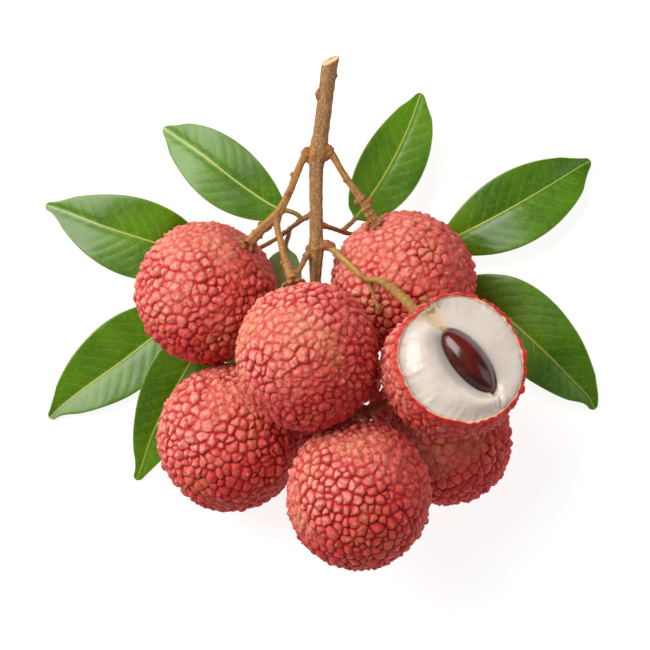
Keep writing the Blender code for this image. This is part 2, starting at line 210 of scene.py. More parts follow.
fruitSkin = {
    "bigKnob": 1.70,          # mm, the widest knob's radius
    "smallKnob": 0.72,        # mm, of the beads that fill in between
    "closeness": 0.80,        # how near neighbours stand, in sums of their radii
    "roundness": 0.23,        # mm, how far a knob's corners are rounded
    "grooveWidth": 0.17,      # mm
    "grooveDepth": 0.18,      # mm
    "knobHeight": 0.78,       # mm, of a knob 1.5 mm in radius
    "tipHeight": 0.26,        # mm, of the wart on a knob's top
    "tipWidth": 0.38,         # mm
    "lean": 0.15,             # how far knobs lean away from the stalk, as a slope
    "tilt": 0.12,             # and how far to any side
    "wander": 0.40,           # mm that the grooves wander
    "weight": 0.8,            # how much of its radius a knob claims against its neighbours
    "grooveFall": 1.4,        # how sharply a groove's sides fall
    "steepness": (0.70, -0.55),     # of a knob's foot, and what fused knobs add to it
    "foot": (0.66, 0.14),     # the foot's width in radii of the knob, and the same
    "vigour": (0.75, 1.2),    # some knobs are lower and some higher
    "tipShift": 0.22,         # mm that a wart stands off its knob's middle
    "tipShare": (0.0, 1.7),   # of tipHeight, the least and the most that a wart has
    "tipFrom": 1.0,           # mm, the smallest knob that has one
    "grain": 0.035,           # mm
    "wrinkle": (0.15, 1.3),   # mm, the height and size of the wrinkles over the knobs
    "fineWrinkle": (0.10, 0.62),
    "swell": (0.12, 7.0),     # mm, the slow unevenness of the whole fruit
    "fusedPatch": 7.0,        # mm, the size of patches where knobs run together
    "fusedNearStalk": 0.45,   # how much more they do so round the stalk
    "keyLightSide": (-0.62, 0.50, 0.60),     # the side towards the key light, which the rind's colour paints paler and dustier: painted light
}


def facingKeyLight(directions):
    # 1 on the side of a fruit towards the key light, 0 on the other: the mask for painted light
    return smoothStep(directions @ unit(np.array(fruitSkin["keyLightSide"])), 0.05, 0.95)


def knobCentres(seed, radius):
    # darts of falling size thrown at a ball: big knobs land first, and beads fill in between
    rng = np.random.default_rng(seed)
    centres = np.zeros((3000, 3))
    sizes = np.zeros(3000)
    count = 0
    for share in np.linspace(0, 1, 10):
        size = fruitSkin["bigKnob"] + (fruitSkin["smallKnob"] - fruitSkin["bigKnob"]) * share
        for dart in unit(rng.normal(size=(int(90 + 900 * share ** 2), 3))) * radius:
            gaps = np.linalg.norm(centres[:count] - dart, axis=1)
            if (gaps > fruitSkin["closeness"] * (sizes[:count] + size)).all():
                centres[count] = dart
                sizes[count] = size
                count += 1
    return centres[:count], sizes[:count]


def knobCells(looked, centres, sizes):
    # each point's own knob and, from the knobs round that one, its distance to the groove
    weights = (fruitSkin["weight"] * sizes) ** 2
    nearest = np.concatenate([(2 * part @ centres.T + weights).argmax(1)
                              for part in np.array_split(looked, 8)])
    order = np.argsort(-(centres @ centres.T), axis=1)[:, 1:15][nearest]
    own = centres[nearest]
    ownGap = ((looked - own) ** 2).sum(1) - weights[nearest]
    otherGap = ((looked[:, None] - centres[order]) ** 2).sum(2) - weights[order]
    between = np.linalg.norm(centres[order] - own[:, None], axis=2)
    insets = (otherGap - ownGap[:, None]) / (2 * between)
    crowd = np.exp(-np.clip(insets, 0, 5) / fruitSkin["roundness"]).sum(1)
    return nearest, np.clip(-fruitSkin["roundness"] * np.log(crowd), 0, None)


def skinRelief(directions, radius, stalkAxis, seed):
    # height in mm over the mean skin, and what the material needs, for directions from the middle
    style = fruitSkin
    rng = np.random.default_rng(seed)
    centres, sizes = knobCentres(seed, radius)
    places = directions * radius
    sway = np.stack([softNoise(places, 1.5, seed + k) + 0.4 * softNoise(places, 0.7, seed + 10 + k)
                     for k in (1, 2, 3)], 1)
    looked = unit(places + sway * style["wander"]) * radius
    nearest, inset = knobCells(looked, centres, sizes)
    size = sizes[nearest]
    offset = looked - centres[nearest]
    near = directions @ np.array(stalkAxis)
    patches = softNoise(places, style["fusedPatch"], seed + 7) + style["fusedNearStalk"] * near
    smooth = smoothStep(patches, -0.25, 0.40)             # 1 where knobs run together
    broken = 0.35 + 0.65 * smoothStep(softNoise(places, 2.0, seed + 9), -0.45, 0.35)
    groove = np.exp(-(inset / style["grooveWidth"]) ** style["grooveFall"])
    groove = groove * broken * (1 - 0.45 * smooth)
    foot = style["foot"][0] + style["foot"][1] * smooth
    dome = np.clip(inset / (foot * size), 0, 1)
    steep = style["steepness"][0] + style["steepness"][1] * smooth
    knob = (1 - steep) * dome ** 2 * (3 - 2 * dome) + steep * (1 - (1 - dome) ** 2)
    tipShift = rng.normal(0, style["tipShift"], centres.shape)[nearest]
    tip = np.exp(-((offset - tipShift) ** 2).sum(1) / style["tipWidth"] ** 2)
    tip *= (rng.uniform(*style["tipShare"], len(centres)) * (sizes > style["tipFrom"]))[nearest]
    slope = rng.normal(0, style["tilt"], centres.shape)[nearest] - style["lean"] * np.array(stalkAxis)
    lean = (offset * slope).sum(1) * (1 - groove)
    vigour = rng.uniform(*style["vigour"], len(centres))[nearest] * (size / 1.5) ** 0.7
    height = (-style["grooveDepth"] * groove
              + style["knobHeight"] * (knob * vigour * (1 - 0.66 * smooth) + 0.25 * smooth)
              + style["tipHeight"] * tip + lean)
    height += style["grain"] * softNoise(places, 0.45, seed + 5)
    high, wide = style["wrinkle"]
    height += (high + 0.20 * smooth) * softNoise(places, wide, seed + 8)
    high, wide = style["fineWrinkle"]
    height += (high + 0.15 * smooth) * softNoise(places, wide, seed + 14)
    high, wide = style["swell"]
    height += high * softNoise(places, wide, seed + 6)
    tone = rng.uniform(0, 1, len(centres))[nearest]
    return height, {"groove": groove, "dome": dome, "tip": tip, "tone": tone, "smooth": smooth,
                    "far": smoothStep(-near, -0.45, 0.75)}


def cubeUV(piece, directions):
    # the bake's map: six square charts, one for each way that the skin faces
    sides = cornerPoints(piece.data).reshape(-1, 3)
    middle = directions[sides].mean(1)
    axis = np.abs(middle).argmax(1)
    rows = np.arange(len(sides))
    chart = axis * 2 + (middle[rows, axis] > 0)
    across, up = (axis + 1) % 3, (axis + 2) % 3
    spots = directions[sides]
    depth = np.abs(spots[rows[:, None], np.arange(3), axis[:, None]])
    u = spots[rows[:, None], np.arange(3), across[:, None]] / depth
    v = spots[rows[:, None], np.arange(3), up[:, None]] / depth
    place = np.stack([(chart % 3)[:, None] / 3 + (u * 0.46 + 0.5) / 3,
                      (chart // 3)[:, None] / 2 + (v * 0.46 + 0.5) / 2], 2)
    setBakeMap(piece.data, place)


def skinMaterial(name, rindLip=False):
    # lychee rind: a dry, leathery pericarp. Blood red in its grooves and rosy on its knobs, with corky
    # tan tops where it has rubbed, so it scatters light broadly with only a faint sheen. Its colour also
    # carries painted light and shade: paler on the side towards the key light, darker in its grooves and
    # on the side away from the stalk.
    made, tree, shader = newMaterial(name, {"Roughness": 0.58, "IOR": 1.45,
                                            "Specular IOR Level": 0.28})
    knob = {key: (addNode(tree, "mark", attribute_name=key), "Fac")
            for key in ("groove", "dome", "tip", "tone", "smooth", "far", "sunny")}
    place = addNode(tree, "place"), "Object"
    patches = addNode(tree, "noise", place, Scale=1 / (13 * mm), Detail=3.0, Roughness=0.6)
    grain = addNode(tree, "noise", place, Scale=1 / (1.0 * mm), Detail=4.0, Roughness=0.7)
    specks = addNode(tree, "cells", place, Scale=1 / (0.8 * mm))
    rosy = addNode(tree, "mix", knob["tone"], "c83c38", "dc625a")
    # deeper crimson on the side away from the stalk, which faces away from the key light: partly the
    # rind's own colour, partly painted shade
    crimsonAndShade = addNode(tree, "mix", knob["tone"], "c62226", "d8403c")
    rosy = addNode(tree, "mix", knob["far"], rosy, crimsonAndShade)
    # ochre patches where the red has not come through
    ochre = addNode(tree, "multiply", addNode(tree, "range", patches, 0.50, 0.68, 0.0, 0.6),
                    addNode(tree, "range", knob["far"], 1.0, 0.0, 0.35, 1.0))
    rosy = addNode(tree, "mix", ochre, rosy, "cf8455")
    yellow = addNode(tree, "multiply", addNode(tree, "range", patches, 0.60, 0.76, 0.0, 0.55),
                     addNode(tree, "range", grain, 0.42, 0.58))
    rosy = addNode(tree, "mix", yellow, rosy, "c9a85c")
    # pale powdery coat on the knobs' tops, partly the rind's own colour and partly painted highlight;
    # more of it, and paler, on the side towards the key light: painted light
    top = addNode(tree, "range", knob["dome"], 0.05, 0.85, 0.12, 1.0)
    bloomAndLight = addNode(tree, "multiply", top, addNode(tree, "range", grain, 0.36, 0.64, 0.18, 0.85))
    bloomAndLight = addNode(tree, "multiply", bloomAndLight, addNode(tree, "range", knob["sunny"], 0.0, 1.0, 0.35, 1.0))
    dustShadedToLit = addNode(tree, "mix", knob["sunny"], "d8685e", "f6b6a8")
    dustyAndLit = addNode(tree, "mix", bloomAndLight, rosy, dustShadedToLit)
    # worn patches, painted paler on the side towards the key light and darker away from it: painted light
    # and shade
    worn = addNode(tree, "multiply", knob["smooth"], addNode(tree, "range", grain, 0.35, 0.65, 0.05, 0.5))
    dustyAndLit = addNode(tree, "mix", worn, dustyAndLit, addNode(tree, "mix", knob["sunny"], "b85a48", "e4967c"))
    tan = addNode(tree, "multiply", knob["tip"], addNode(tree, "range", grain, 0.4, 0.6, 0.3, 0.9))
    dustyAndLit = addNode(tree, "mix", addNode(tree, "range", tan, 0.1, 1.0, 0.0, 0.65), dustyAndLit, "eab49c")
    dotted = addNode(tree, "multiply", addNode(tree, "range", specks, 0.20, 0.09),
                     addNode(tree, "range", knob["dome"], 0.3, 0.8, 0.0, 0.7))
    dustyAndLit = addNode(tree, "mix", dotted, dustyAndLit, "7d3022")
    # redder between the knobs: partly the rind's own red, partly painted shade in the hollows
    valleyRedAndShade = addNode(tree, "multiply", addNode(tree, "range", knob["dome"], 0.42, 0.0, 0.0, 0.76),
                     addNode(tree, "range", knob["smooth"], 0.0, 1.0, 1.0, 0.40))
    red = addNode(tree, "mix", valleyRedAndShade, dustyAndLit, "bc2420")
    # the grooves painted dark red-black: painted shade in the cracks
    deep = addNode(tree, "range", knob["groove"], 0.35, 0.95, 0.0, 0.7)
    red = addNode(tree, "mix", deep, red, "7c0c0d")
    if rindLip:
        for key, colour in (("lip", "c8201c"), ("lining", "f2bf9e")):
            mark = addNode(tree, "mark", attribute_name=key), "Fac"
            red = addNode(tree, "mix", mark, red, colour)
    feed(tree, shader.inputs["Base Color"], red)
    rough = addNode(tree, "range", grain, 0.3, 0.7, 0.48, 0.66)
    feed(tree, shader.inputs["Roughness"], rough)
    bump = addNode(tree, "bump", Strength=0.7, Distance=0.22 * mm, Height=grain)
    feed(tree, shader.inputs["Normal"], bump)
    return made


# ---- the whole fruits

wholeFruits = {
    # the way the stalk leaves the fruit, and the seed of its skin's pattern
    "fruit_upper_left": {"stemEnd": (0.61, 0.70, 0.35), "seed": 11},
    "fruit_centre": {"stemEnd": (-0.20, 0.97, -0.12), "seed": 23},
    "fruit_upper_right": {"stemEnd": (-0.42, 0.84, 0.35), "seed": 37},
    "fruit_lower_left": {"stemEnd": (0.50, 0.86, 0.00), "seed": 41},
    "fruit_lower_centre": {"stemEnd": (-0.15, 0.93, -0.34), "seed": 53},
    "fruit_lower_right": {"stemEnd": (-0.70, 0.65, 0.29), "seed": 67},
    "fruit_inner_middle": {"stemEnd": (-0.70, 0.50, 0.50), "seed": 71},
    "fruit_inner_right": {"stemEnd": (-0.60, 0.10, 0.79), "seed": 73},
    "fruit_inner_left": {"stemEnd": (0.40, 0.68, 0.62), "seed": 89},
}
fruitMesh = {
    "iceSteps": 6,            # icosphere subdivisions
    "extraCuts": 2,           # cuts in each edge after that: a point about every 0.23 mm
    "cutsFrom": 12.0,         # mm, smaller fruits are fine enough without them
    "dimple": 0.9,            # mm that the skin dips in round the stalk
    "dimpleWidth": 0.30,      # radians
    "settle": 0.26,           # mm that the grooves' level lies under the CAD ball
    "floorGap": 0.04,         # mm, the least height over the surface
}


def makeFruit(node, stemEnd, seed, material):
    low, high = (np.array(corner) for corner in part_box(node))
    centre = (low + high) / 2
    deselectAll()
    bpy.ops.mesh.primitive_ico_sphere_add(subdivisions=fruitMesh["iceSteps"], radius=1)
    fruit = bpy.context.object
    reach = (high - low) / 2 / mm
    radius = reach.mean()
    if radius > fruitMesh["cutsFrom"]:
        bpy.ops.object.mode_set(mode="EDIT")
        bpy.ops.mesh.select_all(action="SELECT")
        bpy.ops.mesh.subdivide(number_cuts=fruitMesh["extraCuts"])
        bpy.ops.object.mode_set(mode="OBJECT")
    directions = unit(meshPoints(fruit))
    turn = np.array(turnedTo(stemEnd, (0, 0, 1)))
    world = directions @ turn.T
    height, marks = skinRelief(directions, radius, (0, 0, 1), seed)
    fromStem = np.arccos(np.clip(directions[:, 2], -1, 1))
    crowd = np.exp(-(fromStem / (1.6 * fruitMesh["dimpleWidth"])) ** 2)
    height = height * (1 - 0.6 * crowd)
    height -= fruitMesh["dimple"] * np.exp(-(fromStem / fruitMesh["dimpleWidth"]) ** 2)
    skin = world * (reach - fruitMesh["settle"]) + world * height[:, None]
    points = centre + skin * mm
    points[:, 2] = np.maximum(points[:, 2], fruitMesh["floorGap"] * mm)
    setPoints(fruit, points)
    # the side towards the key light, for the painted light in the rind's colour
    marks["sunny"] = facingKeyLight(world)
    for name, values in marks.items():
        addAttribute(fruit, name, values)
    cubeUV(fruit, directions)
    finishPiece(fruit, "lychee_" + node[6:], material, [node])


lycheeSkin = skinMaterial("lychee rind, dry and knobbly")
for node, choice in wholeFruits.items():
    makeFruit(node, choice["stemEnd"], choice["seed"], lycheeSkin)
    print("fruit made:", node)


# ---- the cut fruit: rind, flesh and seed

cutFruit = {
    "centre": (33.3, -13.0, 47.6),        # mm
    "normal": (0.332, 0.332, 0.883),      # out of the cut
    "stemEnd": (-0.62, 0.78, -0.06),
    "radius": 18.4,
    "cutHeight": 5.1,                     # the rim over the fruit's middle
    "rindThickness": 1.0,
    "fleshRadius": 17.5,
    "crest": 1.75,                        # how much the fat lobe stands over the flat one
    "ridgeRounding": 0.34,                # of the ridge between the seed's bed and the fat lobe
    "dent": 2.2,                          # the fruit drawn in round its stalk
    "dentWidth": 0.46,                    # radians
    "stalkRise": 2.4,                     # the rim higher on the stalk's side
    "fleshDrop": 0.12,                    # the flesh's edge under the rim
    "seedGap": 0.06,                      # between the seed and its bed
    "channelDepth": 1.3,                  # of the flesh's foot, from the seed to the stalk
    "folds": [((1.4, -15.1), (1.0, 1.9)), ((-0.1, -14.2), (0.95, 1.8))],  # place, half size
    "seedAxes": (5.0, 10.4, 5.4),
    "seedPlace": (1.6, -1.7, 3.2),
}
cutTurn = np.array(turnedTo(cutFruit["normal"], cutFruit["stemEnd"]))


def placeCut(points):
    # from the cut fruit's own axes, in mm, to the scene
    return (points @ cutTurn.T + np.array(cutFruit["centre"])) * mm


def sphereGrid(columns, rings):
    # a ball whose own rings and columns are then moved one by one
    deselectAll()
    bpy.ops.mesh.primitive_uv_sphere_add(segments=columns, ring_count=rings, radius=1)
    ball = bpy.context.object
    points = meshPoints(ball)
    ring = np.arccos(np.clip(points[:, 2], -1, 1)) / math.pi * rings
    turn = np.arctan2(points[:, 1], points[:, 0])
    return ball, np.round(ring), turn


def nearTurn(turn, where, width):
    # 1 at one place round the rim, fading to 0 on both sides
    gap = np.remainder(turn - where + math.pi, 2 * math.pi) - math.pi
    return np.exp(-(gap / width) ** 2)


def stalkDent(points):
    # how far the fruit is drawn in round its stalk, in mm, by the angle from the stalk's end
    away = np.arccos(np.clip(unit(points)[:, 1], -1, 1))
    return cutFruit["dent"] * np.exp(-(away / cutFruit["dentWidth"]) ** 2)


def rimHeight(turn):
    # the torn edge: slow waves all round, with small nicks, and higher round the stalk
    slow = 0.28 * np.sin(3 * turn + 0.8) + 0.18 * np.sin(7 * turn) + 0.12 * np.sin(13 * turn + 2)
    nicks = 0.14 * np.sin(29 * turn + 1) * np.sin(5 * turn) + 0.08 * np.sin(47 * turn)
    stalkSide = cutFruit["stalkRise"] * nearTurn(turn, math.pi / 2, 0.5)
    return cutFruit["cutHeight"] + slow + nicks + stalkSide


def rindSide(turn):
    # 1 on the side where the torn edge lies open, 0 where the flesh has swollen over it
    return smoothStep(-np.cos(turn - 0.35), -0.35, 0.45)


def makeRind(material):
    innerRings, lipRings, outerRings = ((40, 14, 170))
    columns = 420
    rings = innerRings + lipRings + outerRings
    rind, ring, turn = sphereGrid(columns, rings)
    radius = cutFruit["radius"]
    inner = radius - cutFruit["rindThickness"]
    rim = rimHeight(turn)
    rimAngle = np.arccos(rim / radius)            # from the cut's normal, on the outside
    innerAngle = np.arccos((rim - 0.10) / inner)
    outside = np.clip((ring - innerRings - lipRings) / outerRings, 0, 1)
    angle = rimAngle + (math.pi - rimAngle) * outside
    shell = np.full(len(turn), radius)
    lip = np.clip((ring - innerRings) / lipRings, 0, 1)
    onLip = (ring > innerRings) & (ring < innerRings + lipRings)
    shell = np.where(onLip, inner + (radius - inner) * lip, shell)
    angle = np.where(onLip, innerAngle + (rimAngle - innerAngle) * lip
                     - 0.30 / radius * np.sin(math.pi * lip), angle)
    inside = ring <= innerRings
    down = 1 - ring / innerRings
    shell = np.where(inside, inner, shell)
    angle = np.where(inside, innerAngle + (math.pi - innerAngle) * down, angle)
    directions = np.stack([np.sin(angle) * np.cos(turn), np.sin(angle) * np.sin(turn),
                           np.cos(angle)], 1)
    height, marks = skinRelief(directions, radius, (0, 1, 0), 79)
    rows = ring - innerRings - lipRings
    torn = rindSide(turn)
    flatter = 1 - 0.35 * torn * smoothStep(rows, 16, 4)   # knobs lie lower along the torn edge
    skinShare = smoothStep(rows, -lipRings * 0.75, 1 + 6 * torn) * flatter
    shell = shell - stalkDent(directions)
    points = directions * (shell + skinShare * (height - fruitMesh["settle"]))[:, None]
    lumps = softNoise(points, 1.1, 83) * smoothStep(rows, -lipRings, -lipRings * 0.4)
    lumps *= smoothStep(rows, 14, 2)
    points += directions * (0.20 * lumps)[:, None]
    setPoints(rind, placeCut(points))
    marks["groove"] = marks["groove"] * skinShare
    marks["tip"] = marks["tip"] * skinShare
    # the side towards the key light, for the painted light in the rind's colour
    marks["sunny"] = facingKeyLight(directions @ cutTurn.T)
    for name, values in marks.items():
        addAttribute(rind, name, values)
    addAttribute(rind, "lip", smoothStep(rows, 4 + 9 * torn, -1) * 0.7)
    reach = 0.26 + 0.34 * torn + 0.22 * softNoise(points, 1.4, 81)
    addAttribute(rind, "lining", smoothStep(lip, reach + 0.16, reach - 0.16) * (rows < 1))
    finishPiece(rind, "cut_lychee_rind", material, ["cut_fruit_rind"])


def fleshTop(share, turn):
    # share runs 0 to 1 over the seed's bed, and on to 2 at the rind
    away = smoothStep(-np.sin(turn), 0.3, 0.8)           # 1 at the far end from the stalk
    gently = smoothStep(-np.cos(turn), -0.30, 0.60)
    bluntly = smoothStep(-np.cos(turn), 0.0, 0.24)
    left = (1 - away) * gently + away * bluntly          # 1 on the fat lobe
    right = smoothStep(np.cos(turn), -0.1, 0.8)          # 1 on the flat lobe
    bed = np.array(cutFruit["seedAxes"]) + cutFruit["seedGap"]
    hug = 0.12 + 0.40 * right + 0.20 * left + 0.20 * nearTurn(turn, math.pi / 2, 0.5)
    bedAngle = -math.pi / 2 + (math.pi / 2 + hug) * np.minimum(share, 1.0)
    x = cutFruit["seedPlace"][0] + bed[0] * np.cos(bedAngle) * np.cos(turn)
    y = cutFruit["seedPlace"][1] + bed[1] * np.cos(bedAngle) * np.sin(turn)
    height = cutFruit["seedPlace"][2] + bed[2] * np.sin(bedAngle)
    over = np.clip(share - 1, 0, 1)
    edgeHeight = rimHeight(turn) - cutFruit["fleshDrop"]
    edge = np.sqrt(cutFruit["fleshRadius"] ** 2 - edgeHeight ** 2)
    drawnIn = 1 - stalkDent(np.stack([edge * np.cos(turn), edge * np.sin(turn), edgeHeight], 1)
                            ) / cutFruit["fleshRadius"]
    edge, edgeHeight = edge * drawnIn, edgeHeight * drawnIn
    x = x + (edge * np.cos(turn) - x) * over
    y = y + (edge * np.sin(turn) - y) * over
    crestAt = 0.28 + 0.10 * left
    crest = cutFruit["cutHeight"] + 0.9 + cutFruit["crest"] * left
    wall = height + (crest - height) * over / crestAt
    fall = np.clip((over - crestAt) / (1 - crestAt), 0, 1)
    fatDown = 1 - smoothStep(fall, 0.12, 0.98)
    flatDown = (1 - fall ** 5) * (1 - 0.15 * np.sin(fall * math.pi))
    down = edgeHeight + (crest - edgeHeight) * (fatDown * left + flatDown * (1 - left))
    # the two meet in a rounded ridge
    rounding = cutFruit["ridgeRounding"]
    ridge = np.minimum(wall, down) - rounding * np.log1p(np.exp(-np.abs(wall - down) / rounding))
    height = height + (ridge - height) * smoothStep(over, 0.0, 0.05)
    # the foot of the flesh by the stalk: a shallow channel from the seed to the rind
    channel = nearTurn(turn, 1.62, 0.22)
    height -= cutFruit["channelDepth"] * channel * np.sin(np.clip(over * 1.1, 0, 1) * math.pi) ** 0.6
    for place, half in cutFruit["folds"]:
        dx, dy = x - place[0], y - place[1]
        long = (-0.66 * dx - 0.75 * dy) / half[1]
        wide = (0.75 * dx - 0.66 * dy) / half[0]
        reach = np.sqrt(long ** 2 + wide ** 2)
        bean = np.sqrt(np.clip(1 - reach ** 2, 0, 1))
        height += np.where(over > 0, 0.8 * bean - 0.12 * np.exp(-((reach - 1.1) / 0.3) ** 2), 0)
    return x, y, height


def makeFlesh(material):
    bedRings, topRings, lowRings = ((34, 90, 50))
    columns = 280
    rings = bedRings + topRings + lowRings
    flesh, ring, turn = sphereGrid(columns, rings)
    share = np.where(ring <= bedRings, ring / bedRings, 1 + (ring - bedRings) / topRings)
    x, y, height = fleshTop(np.minimum(share, 2.0), turn)
    radius = cutFruit["fleshRadius"]
    slope = np.arcsin((rimHeight(turn) - cutFruit["fleshDrop"]) / radius)
    low = np.clip((ring - bedRings - topRings) / lowRings, 0, 1)
    angle = slope - (slope + math.pi / 2) * low
    below = ring > bedRings + topRings
    ball = np.stack([np.cos(angle) * np.cos(turn), np.cos(angle) * np.sin(turn), np.sin(angle)], 1)
    ball = ball * (radius - stalkDent(ball))[:, None]
    points = np.where(below[:, None], ball, np.stack([x, y, height], 1))
    swell = 0.14 * softNoise(points, 3.4, 5) + 0.05 * softNoise(points, 1.2, 6)
    points[:, 2] += np.where(below, 0, swell) * smoothStep(share, 1.02, 1.25)
    crumbs = nearTurn(turn, 1.55, 0.20) * smoothStep(share, 1.0, 1.03) * smoothStep(share, 1.30, 1.12)
    torn = nearTurn(turn, 1.42, 0.17) * smoothStep(share, 1.62, 1.80) * (share < 2.001)
    points[:, 2] += 0.30 * (crumbs + torn) * softNoise(points, 0.8, 9)
    setPoints(flesh, placeCut(points))
    stalkSide = nearTurn(turn, 1.60, 0.30)
    addAttribute(flesh, "yellow", stalkSide * smoothStep(share, 0.7, 1.0) * (share < 2.01))
    addAttribute(flesh, "brown", torn)
    addAttribute(flesh, "crumbs", crumbs)
    addAttribute(flesh, "edge", smoothStep(share, 1.90, 2.0))
    finishPiece(flesh, "cut_lychee_flesh", material, ["cut_fruit_flesh"])


def fleshMaterial():
    # lychee aril: wet jelly-like flesh. Light goes a few millimetres into it, so it glows
    # softly, and its film of juice gives sharp small highlights.
    made, tree, shader = newMaterial("lychee flesh, wet and translucent", {
        "Roughness": 0.33, "IOR": 1.38, "Subsurface Weight": 0.90,
        "Subsurface Radius": (1.0, 0.85, 0.7), "Subsurface Scale": 2.8 * mm,
        "Coat Weight": 0.60, "Coat Roughness": 0.16})
    place = addNode(tree, "place"), "Object"
    clouds = addNode(tree, "noise", place, Scale=1 / (6 * mm), Detail=3.0)
    fibres = addNode(tree, "noise", place, Scale=1 / (1.6 * mm), Detail=3.0)
    crumbly = addNode(tree, "noise", place, Scale=1 / (1.5 * mm), Detail=3.0)
    marks = {key: (addNode(tree, "mark", attribute_name=key), "Fac")
             for key in ("yellow", "brown", "edge", "crumbs")}
    cloudy = addNode(tree, "range", clouds, 0.35, 0.65)
    blushing = addNode(tree, "range", marks["edge"], 0.0, 1.0, 0.0, 0.6)
    yellowing = addNode(tree, "range", marks["yellow"], 0.15, 1.0, 0.0, 0.75)
    bits = addNode(tree, "range", crumbly, 0.40, 0.62, 0.0, 0.8)
    brownBits = addNode(tree, "multiply", addNode(tree, "range", marks["brown"], 0.15, 0.6), bits)
    crumbs = addNode(tree, "multiply", addNode(tree, "range", marks["crumbs"], 0.2, 0.7), bits)
    white = addNode(tree, "mix", cloudy, "e3d7cc", "ece2d9")
    for share, colour in ((blushing, "f0cdb4"), (yellowing, "ffd8a6"), (brownBits, "b9803f"),
                          (crumbs, "d09a58")):
        white = addNode(tree, "mix", share, white, colour)
    feed(tree, shader.inputs["Base Color"], white)
    bump = addNode(tree, "bump", Strength=0.35, Distance=0.3 * mm, Height=fibres)
    feed(tree, shader.inputs["Normal"], bump)
    return made


def makeSeed(material):
    columns, rings = ((120, 90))
    seed = sphereGrid(columns, rings)[0]
    axes = np.array(cutFruit["seedAxes"])
    points = meshPoints(seed)
    taper = 1 - 0.10 * points[:, 1] ** 2 * (points[:, 1] < 0)
    points = points * axes * np.stack([taper, np.ones(len(taper)), taper], 1)
    points += np.array(cutFruit["seedPlace"])
    setPoints(seed, placeCut(points))
    hilum = smoothStep(points[:, 1] - cutFruit["seedPlace"][1], axes[1] * 0.86, axes[1] * 0.96)
    addAttribute(seed, "hilum", hilum)
    finishPiece(seed, "cut_lychee_seed", material, ["cut_fruit_seed"])


def seedMaterial():
    # lychee seed: a hard polished seed coat, chestnut brown, as glossy as varnish
    made, tree, shader = newMaterial("lychee seed, polished brown coat", {
        "Roughness": 0.22, "IOR": 1.50, "Coat Weight": 0.35, "Coat Roughness": 0.12})
    place = addNode(tree, "place"), "Object"
    clouds = addNode(tree, "noise", place, Scale=1 / (5 * mm), Detail=4.0)
    hilum = addNode(tree, "mark", attribute_name="hilum"), "Fac"
    brown = addNode(tree, "mix", addNode(tree, "range", clouds, 0.35, 0.65), "320500", "621101")
    brown = addNode(tree, "mix", hilum, brown, "c9935c")
    feed(tree, shader.inputs["Base Color"], brown)
    return made


makeRind(skinMaterial("lychee rind, torn at its edge", rindLip=True))
makeFlesh(fleshMaterial())
makeSeed(seedMaterial())
print("cut fruit made")


# ---- the leaves

